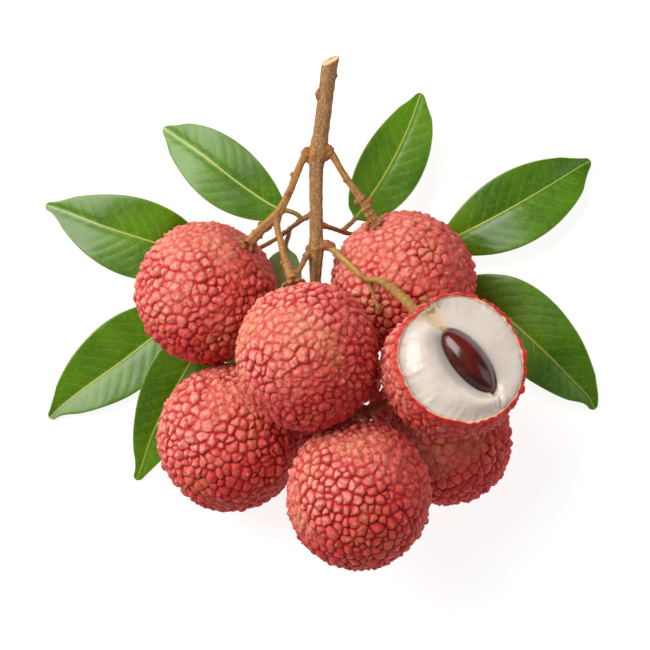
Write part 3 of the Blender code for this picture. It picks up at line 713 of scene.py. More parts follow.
leafBuild = {
    "floorGap": 0.05,         # mm, the least height over the surface
    "petioleRadius": 0.62,
    "bladeThickness": 0.36,
    "midribThickness": 0.85,
    "tipRadius": 1.2,         # mm, of the blunt end of the drip tip
    "veinSpacing": 3.7,       # mm between side veins, measured along the midrib
    "quilt": 0.04,            # mm that the blade rises between its veins
    "crease": 0.22,           # mm, along the midrib
    "ribWidth": 0.55,         # mm
    "waves": (0.45, 13.0),    # mm, the height and length of the blade's slow waves
    "veinSlant": 0.75,        # how far a side vein runs on for each mm it goes out
    "veinCurve": 0.035,       # and how much more it turns towards the tip
}
leaves = {
    "leaf_upper_left": dict(
        petiole=[(-4.9, 23.9, 22.9), (-6.0, 25.2, 23.0), (-7.3, 25.9, 22.3)],
        midrib=[(-8.2, 26.2, 21.7), (-13.0, 27.9, 21.6), (-21.6, 33.7, 20.6),
                (-31.5, 41.4, 18.4), (-40.9, 47.9, 13.4)],
        left=8.6, leftWidest=0.47, leftFull=0.72,
        right=8.2, rightWidest=0.50, rightFull=0.68, leftLift=6, rightLift=6),
    "leaf_left_high": dict(
        petiole=[(-21.9, 13.6, 3.2), (-23.9, 14.3, 2.1), (-25.6, 14.6, 2.0)],
        midrib=[(-27.0, 14.8, 2.1), (-33.4, 15.7, 2.9), (-42.3, 18.1, 6.0),
                (-56.0, 22.5, 5.4), (-67.0, 26.6, 2.7), (-71.9, 28.2, 1.3)],
        left=10.6, leftWidest=0.46, leftFull=0.95,
        right=10.0, rightWidest=0.46, rightFull=0.84, leftLift=11, rightLift=4),
    "leaf_left_low": dict(
        petiole=[(-22.4, 12.9, 2.4), (-24.3, 11.4, 1.5), (-28.0, 7.0, 0.8), (-31.0, 4.0, 0.7)],
        midrib=[(-32.4, 2.8, 0.7), (-38.5, -1.9, 0.7), (-45.6, -7.4, 0.9),
                (-52.7, -12.9, 1.5), (-60.5, -18.4, 1.8), (-67.6, -23.9, 1.3),
                (-70.9, -27.4, 1.0)],
        left=8.8, leftWidest=0.50, leftFull=0.80,
        right=10.7, rightWidest=0.47, rightFull=0.86, leftLift=13, rightLift=5),
    "leaf_lower_left": dict(
        petiole=[(-22.2, 13.0, 2.6), (-22.5, 11.2, 2.0), (-23.9, 6.5, 2.1), (-25.6, 2.6, 2.2)],
        midrib=[(-26.3, 1.2, 2.4), (-30.2, -6.0, 4.1), (-34.6, -13.6, 4.9),
                (-39.9, -22.8, 3.2), (-44.1, -31.6, 2.0), (-46.7, -39.4, 1.45),
                (-48.2, -43.5, 1.0)],
        left=8.6, leftWidest=0.42, leftFull=0.62,
        right=8.6, rightWidest=0.40, rightFull=0.90, leftLift=-4, rightLift=5),
    "leaf_centre": dict(
        petiole=[(-8.2, 21.9, 20.0), (-8.4, 20.3, 17.4), (-9.0, 18.6, 15.4)],
        midrib=[(-9.2, 17.8, 14.5), (-10.9, 9.4, 7.6), (-13.6, 2.6, 4.2),
                (-17.4, -5.2, 2.0), (-21.0, -11.2, 1.1), (-24.4, -17.8, 1.0)],
        left=6.6, leftWidest=0.42, leftFull=0.75,
        right=7.0, rightWidest=0.50, rightFull=0.75, leftLift=4, rightLift=1),
    "leaf_upper_right": dict(
        petiole=[(5.3, 21.2, 16.6), (6.3, 22.1, 17.0), (7.5, 23.2, 16.0)],
        midrib=[(8.2, 23.9, 14.8), (11.7, 28.8, 11.7), (16.9, 36.9, 9.3),
                (21.9, 46.8, 7.7), (25.9, 57.3, 5.2)],
        left=7.9, leftWidest=0.46, leftFull=0.70,
        right=8.6, rightWidest=0.47, rightFull=0.62, leftLift=5, rightLift=4),
    "leaf_right_high": dict(
        petiole=[(25.0, 17.6, 1.8), (26.6, 17.6, 1.9), (28.6, 17.6, 2.2)],
        midrib=[(29.8, 17.9, 2.6), (36.2, 20.6, 4.8), (48.4, 27.0, 6.4),
                (59.7, 33.6, 4.8), (66.6, 37.9, 2.8), (70.1, 39.8, 1.4)],
        left=8.9, leftWidest=0.50, leftFull=0.78,
        right=10.4, rightWidest=0.50, rightFull=0.68, leftLift=3, rightLift=9),
    "leaf_right_low": dict(
        petiole=[(24.8, 17.0, 1.6), (26.0, 15.4, 1.3), (30.0, 11.6, 1.4), (33.6, 8.3, 1.7)],
        midrib=[(34.7, 7.3, 1.8), (41.5, 3.2, 2.3), (48.7, -1.5, 3.6), (57.9, -9.9, 5.0),
                (64.6, -16.6, 3.6), (69.4, -21.6, 2.1), (71.1, -25.1, 1.4)],
        left=11.0, leftWidest=0.42, leftFull=0.72,
        right=9.0, rightWidest=0.46, rightFull=0.74, leftLift=6, rightLift=5),
}


def halfWidth(along, width, widest, full):
    turn = math.pi * along ** (math.log(0.5) / math.log(widest))
    tip = 1 - 0.35 * np.clip((along - 0.86) / 0.14, 0, 1)
    return width * np.clip(np.sin(turn), 0, None) ** full * tip


def ringedCylinder(girth, cuts):
    # a cylinder whose side is cut into rings, which are then moved one by one
    deselectAll()
    bpy.ops.mesh.primitive_cylinder_add(vertices=girth, radius=1, depth=1, end_fill_type="NGON")
    cylinder = bpy.context.object
    bpy.ops.object.mode_set(mode="EDIT")
    bpy.ops.mesh.select_mode(type="EDGE")
    bpy.ops.mesh.select_all(action="DESELECT")
    bpy.ops.object.mode_set(mode="OBJECT")
    ends = meshPoints(cylinder)
    for edge in cylinder.data.edges:
        edge.select = bool(abs(ends[edge.vertices[0], 2] - ends[edge.vertices[1], 2]) > 0.5)
    bpy.ops.object.mode_set(mode="EDIT")
    bpy.ops.mesh.subdivide(number_cuts=cuts)
    bpy.ops.object.mode_set(mode="OBJECT")
    return cylinder


def leafLine(petiole, midrib, t):
    # for each point, by its share t of the leaf's rings: its place on the middle line, the
    # sideways and upward directions there, and the length run up to it. Then the length of
    # the petiole, and of the whole.
    route = [place for place, _ in smoothRoute([*petiole, *midrib], 0.4)]
    route = np.array([list(place) for place in route])
    lengths = np.concatenate([[0], np.cumsum(np.linalg.norm(np.diff(route, axis=0), axis=1))])
    foot = lengths[np.linalg.norm(route - np.array(midrib[0]), axis=1).argmin()]
    petioleShare = 0.6 * foot / lengths[-1]      # fewer rings on the stalk than its length asks
    along = np.where(t < petioleShare, t / petioleShare * foot,
                     foot + (t - petioleShare) / (1 - petioleShare) * (lengths[-1] - foot))
    place = np.stack([np.interp(along, lengths, route[:, k]) for k in range(3)], 1)
    ahead = np.stack([np.interp(along + 0.8, lengths, route[:, k])
                      - np.interp(along - 0.8, lengths, route[:, k]) for k in range(3)], 1)
    side = unit(np.cross([0, 0, 1], ahead))
    return place, side, unit(np.cross(ahead, side)), along, foot, lengths[-1]


def makeLeaf(node, petiole, midrib, left, leftWidest, leftFull, leftLift, right, rightWidest,
             rightFull, rightLift, seed, material):
    # the cylinder's height becomes the way along the leaf, and its girth becomes the top face
    # from edge to edge and then the underside
    girth, cuts = ((128, 99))
    leaf = ringedCylinder(girth, cuts)
    ring = meshPoints(leaf)
    t = np.clip(ring[:, 2] + 0.5, 0, 1)
    around = np.remainder(np.arctan2(ring[:, 1], ring[:, 0]) / math.pi, 2)   # 0 to 1 is the top
    place, side, up, along, foot, whole = leafLine(petiole, midrib, t)
    bladeLength = whole - foot
    blade = np.clip((along - foot) / bladeLength, 0, 1)
    top = around <= 1
    spread = np.where(top, 1 - 2 * around, 2 * around - 3)      # 1 at the left edge, -1 right
    across = np.sign(spread) * np.abs(spread) ** 1.3
    isLeft = across >= 0
    width = np.where(isLeft, halfWidth(blade, left, leftWidest, leftFull),
                     halfWidth(blade, right, rightWidest, rightFull))
    petioleRadius = leafBuild["petioleRadius"]
    # the drip tip ends bluntly
    toTip = np.clip((1 - blade) * bladeLength / leafBuild["tipRadius"], 0, 1)
    bluntTip = leafBuild["tipRadius"] * np.sqrt(toTip * (2 - toTip))
    tongue = bluntTip * smoothStep(blade, 0.70, 0.94)
    width = np.where(blade > 0.5, np.cbrt(width ** 3 * toTip + tongue ** 3),
                     np.maximum(width, petioleRadius))
    broad = np.where(blade > 0.5, 1.0, smoothStep(width, petioleRadius * 1.05, 3.0))
    out = across * width
    # round on the stalk, a thin lens on the blade with a rib under its middle
    roundHeight = petioleRadius * np.sin(np.clip(around, 0, 2) * math.pi)
    roundOut = petioleRadius * np.cos(around * math.pi)
    lens = leafBuild["bladeThickness"] / 2 * np.sqrt(np.clip(1 - across ** 6, 0, 1))
    rib = (leafBuild["midribThickness"] - leafBuild["bladeThickness"]) * (1 - 0.65 * blade)
    ribShape = np.exp(-(out / leafBuild["ribWidth"]) ** 2)
    bladeHeight = np.where(top, lens + 0.10 * ribShape, -lens - rib * ribShape)
    flat = smoothStep(blade, 0.0, 0.07) * broad
    height = roundHeight * (1 - flat) + bladeHeight * flat
    out = roundOut * (1 - flat) + out * flat

    # the sheet itself: folded a little along the midrib, quilted between its veins, and wavy
    distance = np.abs(out)
    run = blade * bladeLength - leafBuild["veinSlant"] * distance - leafBuild["veinCurve"] * distance ** 2
    vein = run / leafBuild["veinSpacing"] + 0.5 * isLeft
    nearVein = np.abs(vein - np.round(vein)) * leafBuild["veinSpacing"]
    fade = smoothStep(distance, 0.3, 1.2) * smoothStep(width - distance, 0.2, 2.0) * flat
    quilt = (leafBuild["quilt"] * smoothStep(nearVein, 0.1, 1.3) - 0.03) * fade
    lift = np.where(isLeft, leftLift, rightLift) * smoothStep(blade, 0.0, 0.3)
    rise = distance * np.tan(np.radians(lift))
    crease = -leafBuild["crease"] * np.exp(-(distance / 1.1) ** 2) * flat
    high, long = leafBuild["waves"]
    waves = softNoise(np.stack([along, out, np.zeros(len(out))], 1), long, seed)
    sway = high * waves * (distance / 8)             # more towards the edge
    sheet = (rise + crease + quilt + sway) * flat
    points = place + side * out[:, None] + up * (sheet + height)[:, None]
    points[:, 2] = np.maximum(points[:, 2], leafBuild["floorGap"])
    setPoints(leaf, points * mm)

    addAttribute(leaf, "along", blade * bladeLength)
    addAttribute(leaf, "across", out)
    addAttribute(leaf, "topSide", top.astype(float))
    addAttribute(leaf, "bladeShare", flat)
    addAttribute(leaf, "toEdge", width - distance)
    leafUV(leaf, t, around)
    finishPiece(leaf, node.replace("leaf", "lychee_leaf"), material, [node])


def leafUV(leaf, t, around):
    # the bake's map: the top face beside the underside
    mesh = leaf.data
    corners = cornerPoints(mesh)
    starts = np.empty(len(mesh.polygons), np.int64)
    sizes = np.empty(len(mesh.polygons), np.int64)
    mesh.polygons.foreach_get("loop_start", starts)
    mesh.polygons.foreach_get("loop_total", sizes)
    face = np.repeat(np.arange(len(sizes)), sizes)
    angle = around[corners]
    wraps = np.zeros(len(sizes), bool)
    np.logical_or.at(wraps, face, angle > 1.5)
    small = np.zeros(len(sizes), bool)
    np.logical_or.at(small, face, angle < 0.5)
    angle = np.where((wraps & small)[face] & (angle < 0.5) & (sizes[face] == 4), angle + 2, angle)
    middle = np.add.reduceat(angle, starts) / sizes
    under = (middle > 1)[face]
    v = np.where(under, 0.98 - (angle - 1) * 0.46, 0.02 + angle * 0.46)
    u = 0.02 + 0.96 * t[corners]
    caps = sizes[face] > 4
    u = np.where(caps, 0.985 + 0.01 * np.cos(angle * math.pi), u)
    v = np.where(caps, np.where(t[corners] > 0.5, 0.005, 0.995), v)
    setBakeMap(mesh, np.stack([u, v], 1))


def leafMaterial(name, dark, mid, light, underside, topShare):
    # lychee leaf: a stiff leathery blade under a coat of wax. The wax reflects a broad pale
    # sheen of the studio, the blade is deep green over a paler underside, and light comes
    # through it a little.
    made, tree, shader = newMaterial(name, {"Roughness": 0.28, "IOR": 1.46,
                                            "Specular IOR Level": 0.45, "Coat Weight": 0.26,
                                            "Coat Roughness": 0.20, "Subsurface Weight": 0.08,
                                            "Subsurface Radius": (0.5, 1.0, 0.2),
                                            "Subsurface Scale": 0.8 * mm})
    part = {key: (addNode(tree, "mark", attribute_name=key), "Fac")
            for key in ("along", "across", "topSide", "bladeShare", "toEdge")}
    place = addNode(tree, "place"), "Object"
    clouds = addNode(tree, "noise", place, Scale=1 / (16 * mm), Detail=3.0)
    fine = addNode(tree, "noise", place, Scale=1 / (1.1 * mm), Detail=3.0)
    net = addNode(tree, "cells", place, Scale=1 / (1.25 * mm), feature="DISTANCE_TO_EDGE")
    wiggle = addNode(tree, "range", clouds, 0.3, 0.7, -0.7, 0.7)
    distance = addNode(tree, "size", part["across"])
    slant = addNode(tree, "multiply", distance, leafBuild["veinSlant"])
    curve = addNode(tree, "multiply", addNode(tree, "multiply", distance, distance),
                    leafBuild["veinCurve"])
    run = addNode(tree, "subtract", addNode(tree, "subtract", part["along"], slant), curve)
    run = addNode(tree, "add", run, wiggle)
    run = addNode(tree, "divide", run, leafBuild["veinSpacing"])
    onLeft = addNode(tree, "above", part["across"], 0.0)
    run = addNode(tree, "add", run, addNode(tree, "multiply", onLeft, 0.5))
    off = addNode(tree, "size", addNode(tree, "subtract", run, addNode(tree, "round", run)))
    veins = addNode(tree, "range", off, 0.042, 0.010)
    faint = addNode(tree, "range", clouds, 0.35, 0.62, 0.06, 0.30)
    inside = addNode(tree, "range", part["toEdge"], 0.8, 4.5)
    veins = addNode(tree, "multiply", veins, addNode(tree, "multiply", faint, inside))
    halo = addNode(tree, "range", off, 0.16, 0.02, 0.0, 0.10)
    mesh = addNode(tree, "range", net, 0.06, 0.02, 0.0, 0.15)
    narrowing = addNode(tree, "multiply", part["along"], 0.003)
    midrib = addNode(tree, "range", addNode(tree, "add", distance, narrowing), 0.34, 0.14)
    green = addNode(tree, "mix", addNode(tree, "range", clouds, 0.3, 0.7), dark, mid)
    green = addNode(tree, "mix", addNode(tree, "range", fine, 0.45, 0.75, 0.0, 0.25), green, light)
    green = addNode(tree, "mix", halo, green, light)
    green = addNode(tree, "mix", mesh, green, light)
    green = addNode(tree, "mix", veins, green, "a9bd5c")
    rim = addNode(tree, "range", part["toEdge"], 0.35, 0.05, 0.0, 0.7)
    green = addNode(tree, "mix", rim, green, "9fb54e")
    pale = addNode(tree, "mix", addNode(tree, "range", clouds, 0.3, 0.7), underside, "8fae7c")
    pale = addNode(tree, "mix", addNode(tree, "multiply", veins, 0.8), pale, "b9c98a")
    both = addNode(tree, "mix", addNode(tree, "multiply", part["topSide"], topShare), pale, green)
    both = addNode(tree, "mix", midrib, both, "b7c257")
    both = addNode(tree, "mix", addNode(tree, "range", part["bladeShare"], 0.6, 0.1), both, "97803e")
    feed(tree, shader.inputs["Base Color"], both)
    rough = addNode(tree, "range", fine, 0.3, 0.7, 0.26, 0.36)
    feed(tree, shader.inputs["Roughness"], rough)
    relief = addNode(tree, "subtract", addNode(tree, "multiply", fine, 0.3),
                     addNode(tree, "add", veins, mesh))
    bump = addNode(tree, "bump", Strength=0.35, Distance=0.15 * mm, Height=relief)
    feed(tree, shader.inputs["Normal"], bump)
    return made


waxyLeaf = leafMaterial("lychee leaf, waxed and leathery", "386600", "588a02", "74a01c",
                        "7fa06a", 1.0)
# the leaf in the middle of the bunch: its paler underside, painted much lighter and greener to stand in
# for the light that the fruits and stalks keep off it: painted light
leafPaintedLighter = leafMaterial("lychee leaf underside, painted lighter against its shade", "86d08a", "9edf9c",
                        "b6eab2", "b0dca4", 0.85)
for number, (node, choice) in enumerate(leaves.items()):
    makeLeaf(node, seed=100 + number, material=leafPaintedLighter if node == "leaf_centre" else waxyLeaf,
             **choice)
print("leaves made:", len(leaves))


# ---- the woody stem and its stalks

wood = {
    "voxel": 0.25,            # mm, of the remesh that welds the forks
    "quickVoxel": 0.45,
    "barkGroove": 0.07,       # mm
    "ridge": 0.16,            # mm, of the long ridges down the stem
    "cutPlace": (2.3, 64.55, 27.5),     # the saw cut at the top
    "cutFacing": (-0.38, 0.84, 0.38),
    "barkRim": 0.22,          # mm of bark round the cut
    "sharpAngle": 55,         # degrees, past which an edge stays sharp
    "collarTube": 0.36,       # mm, the radius of a scar's ring
    "collarSink": 0.30,       # mm that the ring lies in the bark
    "collarTilt": (0.12, -0.1, 1),  # the way a ring faces, where the stalk runs along Z
    "scraps": 8,              # dry scraps of the flower's cup round a stalk's end
    "scrapRadius": 0.85,      # mm
    "scrapReach": (1.15, 1.8),      # how far out they lie, in radii of the stalk
    "barkTurn": 1.7,          # the bark pattern's own units, round the stalk
    "barkRun": 0.09,          # and for each mm along it, so that it is drawn out lengthwise
    "nextStart": 37.0,        # mm between the starts of two stalks' patterns
}
stalks = {
    # route in mm, the radius at each point, and how young and ochre its bark is; a stalk
    # starts inside what it grows from
    "main": dict(route=[(2.9, 69.5, 27.6), (2.3, 65.3, 27.5), (1.4, 58.0, 27.2), (0.5, 50.8, 26.8),
                        (-0.2, 45.4, 26.4), (-0.9, 41.1, 26.2), (-1.3, 36.8, 26.0),
                        (-1.3, 27.0, 26.0), (-1.3, 20.0, 26.0), (-1.3, 16.7, 26.0),
                        (-1.5, 9.0, 25.4), (-1.3, 0.0, 24.0), (-0.9, -8.0, 21.5),
                        (0.6, -16.0, 18.5), (2.5, -22.0, 16.5)],
                 radii=[2.1, 2.1, 1.95, 2.0, 2.05, 2.55, 1.8, 1.7, 1.75, 2.1, 1.5, 1.5, 1.5, 1.45,
                        1.6], tint=0.0),
    "upperLeft": dict(route=[(-1.2, 41.6, 26.2), (-3.4, 41.2, 26.2), (-4.8, 39.2, 26.3),
                             (-6.2, 36.0, 26.6), (-8.0, 31.4, 27.0), (-10.0, 27.4, 27.4),
                             (-11.9, 24.6, 27.5), (-15.0, 21.7, 27.5), (-18.6, 18.0, 27.1)],
                      radii=[1.3, 1.25, 0.98, 0.95, 1.0, 1.15, 1.45, 1.3, 1.5], tint=1.0),
    "centre": dict(route=[(-11.0, 25.6, 27.4), (-11.3, 23.6, 28.0), (-11.2, 21.6, 29.2),
                          (-10.3, 18.2, 33.3), (-9.2, 13.8, 38.5), (-8.0, 10.6, 42.0),
                          (-7.2, 8.4, 44.4)],
                   radii=[1.1, 1.0, 0.85, 0.9, 1.0, 1.25, 1.45], tint=1.0),
    "spur": dict(route=[(-2.6, 15.8, 26.4), (-4.0, 14.4, 28.0), (-5.1, 12.3, 34.0),
                        (-5.9, 10.7, 40.0), (-6.6, 10.0, 42.4)],
                 radii=[1.0, 0.8, 0.7, 0.72, 0.9], tint=0.55),
    "upperRight": dict(route=[(-0.6, 41.6, 26.2), (1.8, 41.5, 26.1), (3.6, 39.2, 26.0),
                              (5.1, 36.6, 25.9), (8.0, 32.3, 25.7), (10.0, 29.5, 25.6),
                              (11.5, 27.0, 25.5), (13.4, 23.7, 25.1)],
                       radii=[1.3, 1.2, 0.95, 0.9, 1.0, 1.25, 1.15, 1.45], tint=0.75),
    "lowerLeft": dict(route=[(-1.1, -6.5, 21.9), (-3.9, -8.5, 20.3), (-8.0, -10.7, 18.8),
                             (-13.6, -14.7, 18.4)], radii=[1.3, 1.1, 1.0, 1.4], tint=0.6),
    "lowerCentre": dict(route=[(2.3, -21.4, 16.8), (3.6, -24.2, 18.6), (5.2, -26.2, 25.0),
                               (6.4, -27.4, 33.4)], radii=[1.4, 1.1, 1.0, 1.4], tint=0.6),
    "lowerRight": dict(route=[(2.4, -21.6, 16.6), (5.4, -23.6, 16.4), (8.3, -25.9, 16.6),
                              (11.5, -25.2, 17.6), (15.5, -23.6, 19.6), (20.2, -21.5, 21.5)],
                       radii=[1.3, 1.2, 1.4, 1.4, 0.95, 1.3], tint=0.0),
    "innerMiddle": dict(route=[(-0.2, -11.6, 20.0), (0.1, -11.7, 18.0), (0.4, -11.8, 16.0),
                               (1.1, -11.7, 12.8)], radii=[0.8, 0.6, 0.55, 0.8], tint=0.6),
    "innerRight": dict(route=[(12.2, -25.0, 17.9), (12.3, -24.9, 16.2), (12.8, -24.6, 13.0),
                              (13.7, -24.1, 9.2)], radii=[0.8, 0.55, 0.5, 0.7], tint=0.6),
    "innerLeft": dict(route=[(2.3, -22.0, 16.3), (2.1, -22.7, 14.4), (1.9, -23.8, 13.0),
                             (1.6, -25.0, 11.1)], radii=[0.8, 0.55, 0.5, 0.7], tint=0.6),
    "leafTwigLeft": dict(route=[(-2.2, 25.6, 25.4), (-4.1, 24.5, 24.0), (-7.3, 22.4, 21.0),
                                (-11.1, 19.6, 17.0), (-16.6, 16.6, 11.0), (-20.0, 14.8, 6.0),
                                (-22.0, 13.4, 3.0)],
                         radii=[1.0, 0.65, 0.58, 0.55, 0.55, 0.55, 0.75], tint=0.45),
    "leafTwigRight": dict(route=[(-0.4, 22.8, 25.0), (1.6, 22.2, 23.0), (3.6, 21.6, 19.8),
                                 (5.4, 21.0, 16.4), (7.2, 20.6, 12.4), (8.9, 20.2, 8.8),
                                 (13.0, 19.6, 4.2), (18.0, 18.9, 2.2), (22.0, 18.4, 1.9),
                                 (25.0, 17.5, 1.8)],
                          radii=[1.0, 0.65, 0.58, 0.58, 0.55, 0.55, 0.55, 0.55, 0.55, 0.7], tint=0.45),
}
# rings round a stalk, old leaf and bud scars: the stalk, points passed, mm over the bark
collars = [("upperLeft", 1.35, 0.42), ("upperLeft", 6.9, 0.3), ("upperLeft", 7.4, 0.38),
           ("upperLeft", 7.8, 0.3), ("centre", 4.6, 0.3), ("centre", 5.0, 0.36),
           ("centre", 5.5, 0.3), ("upperRight", 1.25, 0.40), ("upperRight", 5.1, 0.36),
           ("upperRight", 6.0, 0.42), ("upperRight", 6.5, 0.3), ("spur", 0.9, 0.36),
           ("main", 9.0, 0.3), ("leafTwigLeft", 1.0, 0.24)]
youngStalks = {
    "cutFruit": dict(route=[(0.2, 16.9, 26.6), (2.6, 16.4, 27.6), (4.2, 14.9, 29.0),
                            (6.3, 13.1, 31.2), (10.8, 9.0, 36.5), (14.8, 8.2, 40.0),
                            (18.0, 6.2, 42.8), (20.4, 4.0, 45.0), (23.4, 1.0, 47.2)],
                     radii=[0.8, 0.85, 0.82, 0.76, 0.75, 0.85, 1.0, 1.15, 1.2], tint=0.6),
    "sideTwig": dict(route=[(12.4, 8.7, 38.0), (12.4, 6.9, 37.2), (13.1, 5.0, 37.6),
                            (14.6, 1.3, 38.0)], radii=[0.55, 0.42, 0.4, 0.5], tint=0.4),
}
youngCollars = [("cutFruit", 1.7, 0.3), ("cutFruit", 4.0, 0.22),
                ("cutFruit", 5.3, 0.2), ("cutFruit", 5.8, 0.24), ("cutFruit", 6.2, 0.24),
                ("cutFruit", 6.6, 0.24), ("cutFruit", 7.0, 0.24), ("cutFruit", 7.4, 0.22),
                ("cutFruit", 7.8, 0.2), ("sideTwig", 2.85, 0.18)]
# buds, scars and swollen nodes: place and radius in mm
knots = [((-3.3, 39.2, 26.2), 0.8), ((1.2, 39.7, 26.1), 0.8), ((-0.6, 56.8, 27.9), 0.7),
         ((-0.75, 56.0, 27.9), 0.85), ((-0.75, 55.2, 27.9), 0.7), ((3.3, 60.8, 27.6), 0.8),
         ((8.9, -26.4, 16.9), 1.5), ((10.7, -25.5, 17.5), 2.0), ((11.6, -26.3, 17.2), 1.5),
         ((-3.7, 41.5, 26.6), 1.2), ((1.9, 42.1, 26.7), 1.15), ((1.9, 40.9, 26.4), 0.9),
         ((-3.3, 16.6, 26.8), 1.0), ((1.4, 17.5, 27.0), 1.4), ((2.6, 17.2, 27.4), 1.15),
         ((3.2, 16.3, 27.6), 0.8),
         ((-7.4, 35.5, 26.8), 0.7), ((-8.6, 30.6, 27.9), 0.7), ((-13.4, 22.0, 26.6), 0.85),
         ((-15.6, 22.8, 27.3), 0.8), ((-9.9, 12.6, 40.6), 0.75), ((-7.8, 11.6, 42.4), 0.8),
         ((9.1, 28.4, 25.6), 0.95), ((12.4, 29.0, 25.8), 0.85), ((12.6, 25.4, 25.6), 0.9),
         ((6.0, 34.0, 26.3), 0.6), ((-6.0, 23.6, 22.0), 0.7), ((5.2, 21.2, 16.8), 0.7),
         ((-9.6, 20.9, 18.8), 0.6)]
youngKnots = [((10.6, 9.2, 36.6), 0.95), ((16.6, 7.6, 41.6), 0.9), ((14.7, 1.1, 38.1), 0.66),
              ((14.2, 1.4, 38.0), 0.5), ((26.2, 3.7, 51.3), 0.9), ((25.3, 3.5, 50.8), 0.75)]


def radiusAt(radii, passed):
    # the radius of a stalk once so many of its points are passed
    return float(np.interp(passed, range(len(radii)), radii))


def addTube(route, radii):
    curve = bpy.data.curves.new("tube", "CURVE")
    curve.dimensions = "3D"
    curve.bevel_depth = mm
    curve.bevel_resolution = 6
    curve.use_fill_caps = True
    places = smoothRoute(route, 0.9)
    spline = curve.splines.new("POLY")
    spline.points.add(len(places) - 1)
    for point, (place, passed) in zip(spline.points, places):
        point.co = (*(place * mm), 1.0)
        point.radius = radiusAt(radii, passed)
    tube = bpy.data.objects.new("tube", curve)
    bpy.context.scene.collection.objects.link(tube)
    return tube


def addCollar(stalk, passed, over):
    places = smoothRoute(stalk["route"], 0.3)
    at = min(range(1, len(places) - 1), key=lambda i: abs(places[i][1] - passed))
    ahead = places[at + 1][0] - places[at - 1][0]
    radius = radiusAt(stalk["radii"], passed)
    tilted = Vector(wood["collarTilt"]).to_track_quat("Z", "Y")
    deselectAll()
    bpy.ops.mesh.primitive_torus_add(
        major_radius=(radius + over - wood["collarSink"]) * mm, minor_radius=wood["collarTube"] * mm,
        major_segments=28, minor_segments=10, location=places[at][0] * mm,
        rotation=(ahead.to_track_quat("Z", "Y") @ tilted).to_euler())
    return bpy.context.object


def addCalyx(end, outward, radius, seed):
    # the dry scraps of the flower's cup round a stalk's end, pressed on the fruit
    rng = np.random.default_rng(seed)
    turn = turnedTo(outward, (0.3, 0.2, 1))
    scraps = []
    for k in range(wood["scraps"]):
        angle = 2 * math.pi * (k + rng.uniform(-0.25, 0.25)) / wood["scraps"]
        reach = radius * rng.uniform(*wood["scrapReach"])
        spot = Vector(end) + turn @ Vector((math.cos(angle), math.sin(angle), -0.25)) * reach
        deselectAll()
        bpy.ops.mesh.primitive_ico_sphere_add(subdivisions=2, radius=wood["scrapRadius"] * mm,
                                              location=spot * mm)
        scrap = bpy.context.object
        scrap.scale = (1.1, 0.9, 0.6)
        scrap.rotation_euler = (turn @ Matrix.Rotation(angle, 3, "Z")
                                @ Matrix.Rotation(rng.uniform(0.1, 0.8), 3, "Y")).to_euler()
        scraps.append(scrap)
    return scraps


def weldWood(pieces):
    # tubes, rings and knots become one closed mesh, as they grew
    deselectAll()
    for piece in pieces:
        piece.select_set(True)
    bpy.context.view_layer.objects.active = pieces[0]
    bpy.ops.object.convert(target="MESH")
    bpy.ops.object.transform_apply(location=True, rotation=True, scale=True)
    bpy.ops.object.join()
    stem = bpy.context.object
    weld = stem.modifiers.new("weld forks", "REMESH")
    weld.mode = "VOXEL"
    weld.voxel_size = wood["voxel"] * mm
    bpy.ops.object.modifier_apply(modifier=weld.name)
    ease = stem.modifiers.new("ease forks", "SMOOTH")
    ease.factor = 0.5
    ease.iterations = 3
    bpy.ops.object.modifier_apply(modifier=ease.name)
    return stem


def sawTop():
    # the top end of the stem in hand is sawn off on a slant
    bpy.ops.object.mode_set(mode="EDIT")
    bpy.ops.mesh.select_all(action="SELECT")
    bpy.ops.mesh.bisect(plane_co=Vector(wood["cutPlace"]) * mm, plane_no=wood["cutFacing"],
                        use_fill=True, clear_outer=True)
    bpy.ops.mesh.inset(thickness=wood["barkRim"] * mm)
    bpy.ops.object.mode_set(mode="OBJECT")


def alongStalks(group, points):
    # each point's way out from the nearest stalk's middle, that stalk's direction, the length
    # run along it and its tint
    axis, ahead, run, tint = [], [], [], []
    start = 0.0
    for one in group.values():
        places = np.array([list(p) for p, _ in smoothRoute(one["route"], 0.35)])
        axis.append(places)
        ahead.append(unit(np.gradient(places, axis=0)))
        gone = np.cumsum(np.linalg.norm(np.diff(places, axis=0), axis=1))
        run.append(start + np.concatenate([[0], gone]))
        tint.append(np.full(len(places), one["tint"]))
        start += wood["nextStart"]
    axis, ahead, run, tint = (np.concatenate(part) for part in (axis, ahead, run, tint))
    nearest = np.concatenate([((part[:, None] - axis[None]) ** 2).sum(2).argmin(1)
                              for part in np.array_split(points, 60)])
    offset = points - axis[nearest]
    forward = (offset * ahead[nearest]).sum(1)
    offset = offset - ahead[nearest] * forward[:, None]
    return offset, ahead[nearest], run[nearest] + forward, tint[nearest]


def scarMarks(group, swellings, calyxes, points, offset):
    # 1 on buds and scars, and on the calyx scraps round a stalk's end, which are as red
    reddish = np.zeros(len(points))
    for place, radius in swellings:
        gap = np.linalg.norm(points - np.array(place), axis=1)
        reddish = np.maximum(reddish, np.exp(-(gap / (1.3 * radius)) ** 4))
    for key in calyxes:
        end = np.array(group[key]["route"][-1])
        gap = np.linalg.norm(points - end, axis=1) / (2.3 * group[key]["radii"][-1])
        away = np.linalg.norm(offset, axis=1) / group[key]["radii"][-1]
        reddish = np.maximum(reddish, np.exp(-gap ** 6) * smoothStep(away, 0.9, 1.25))
    return reddish


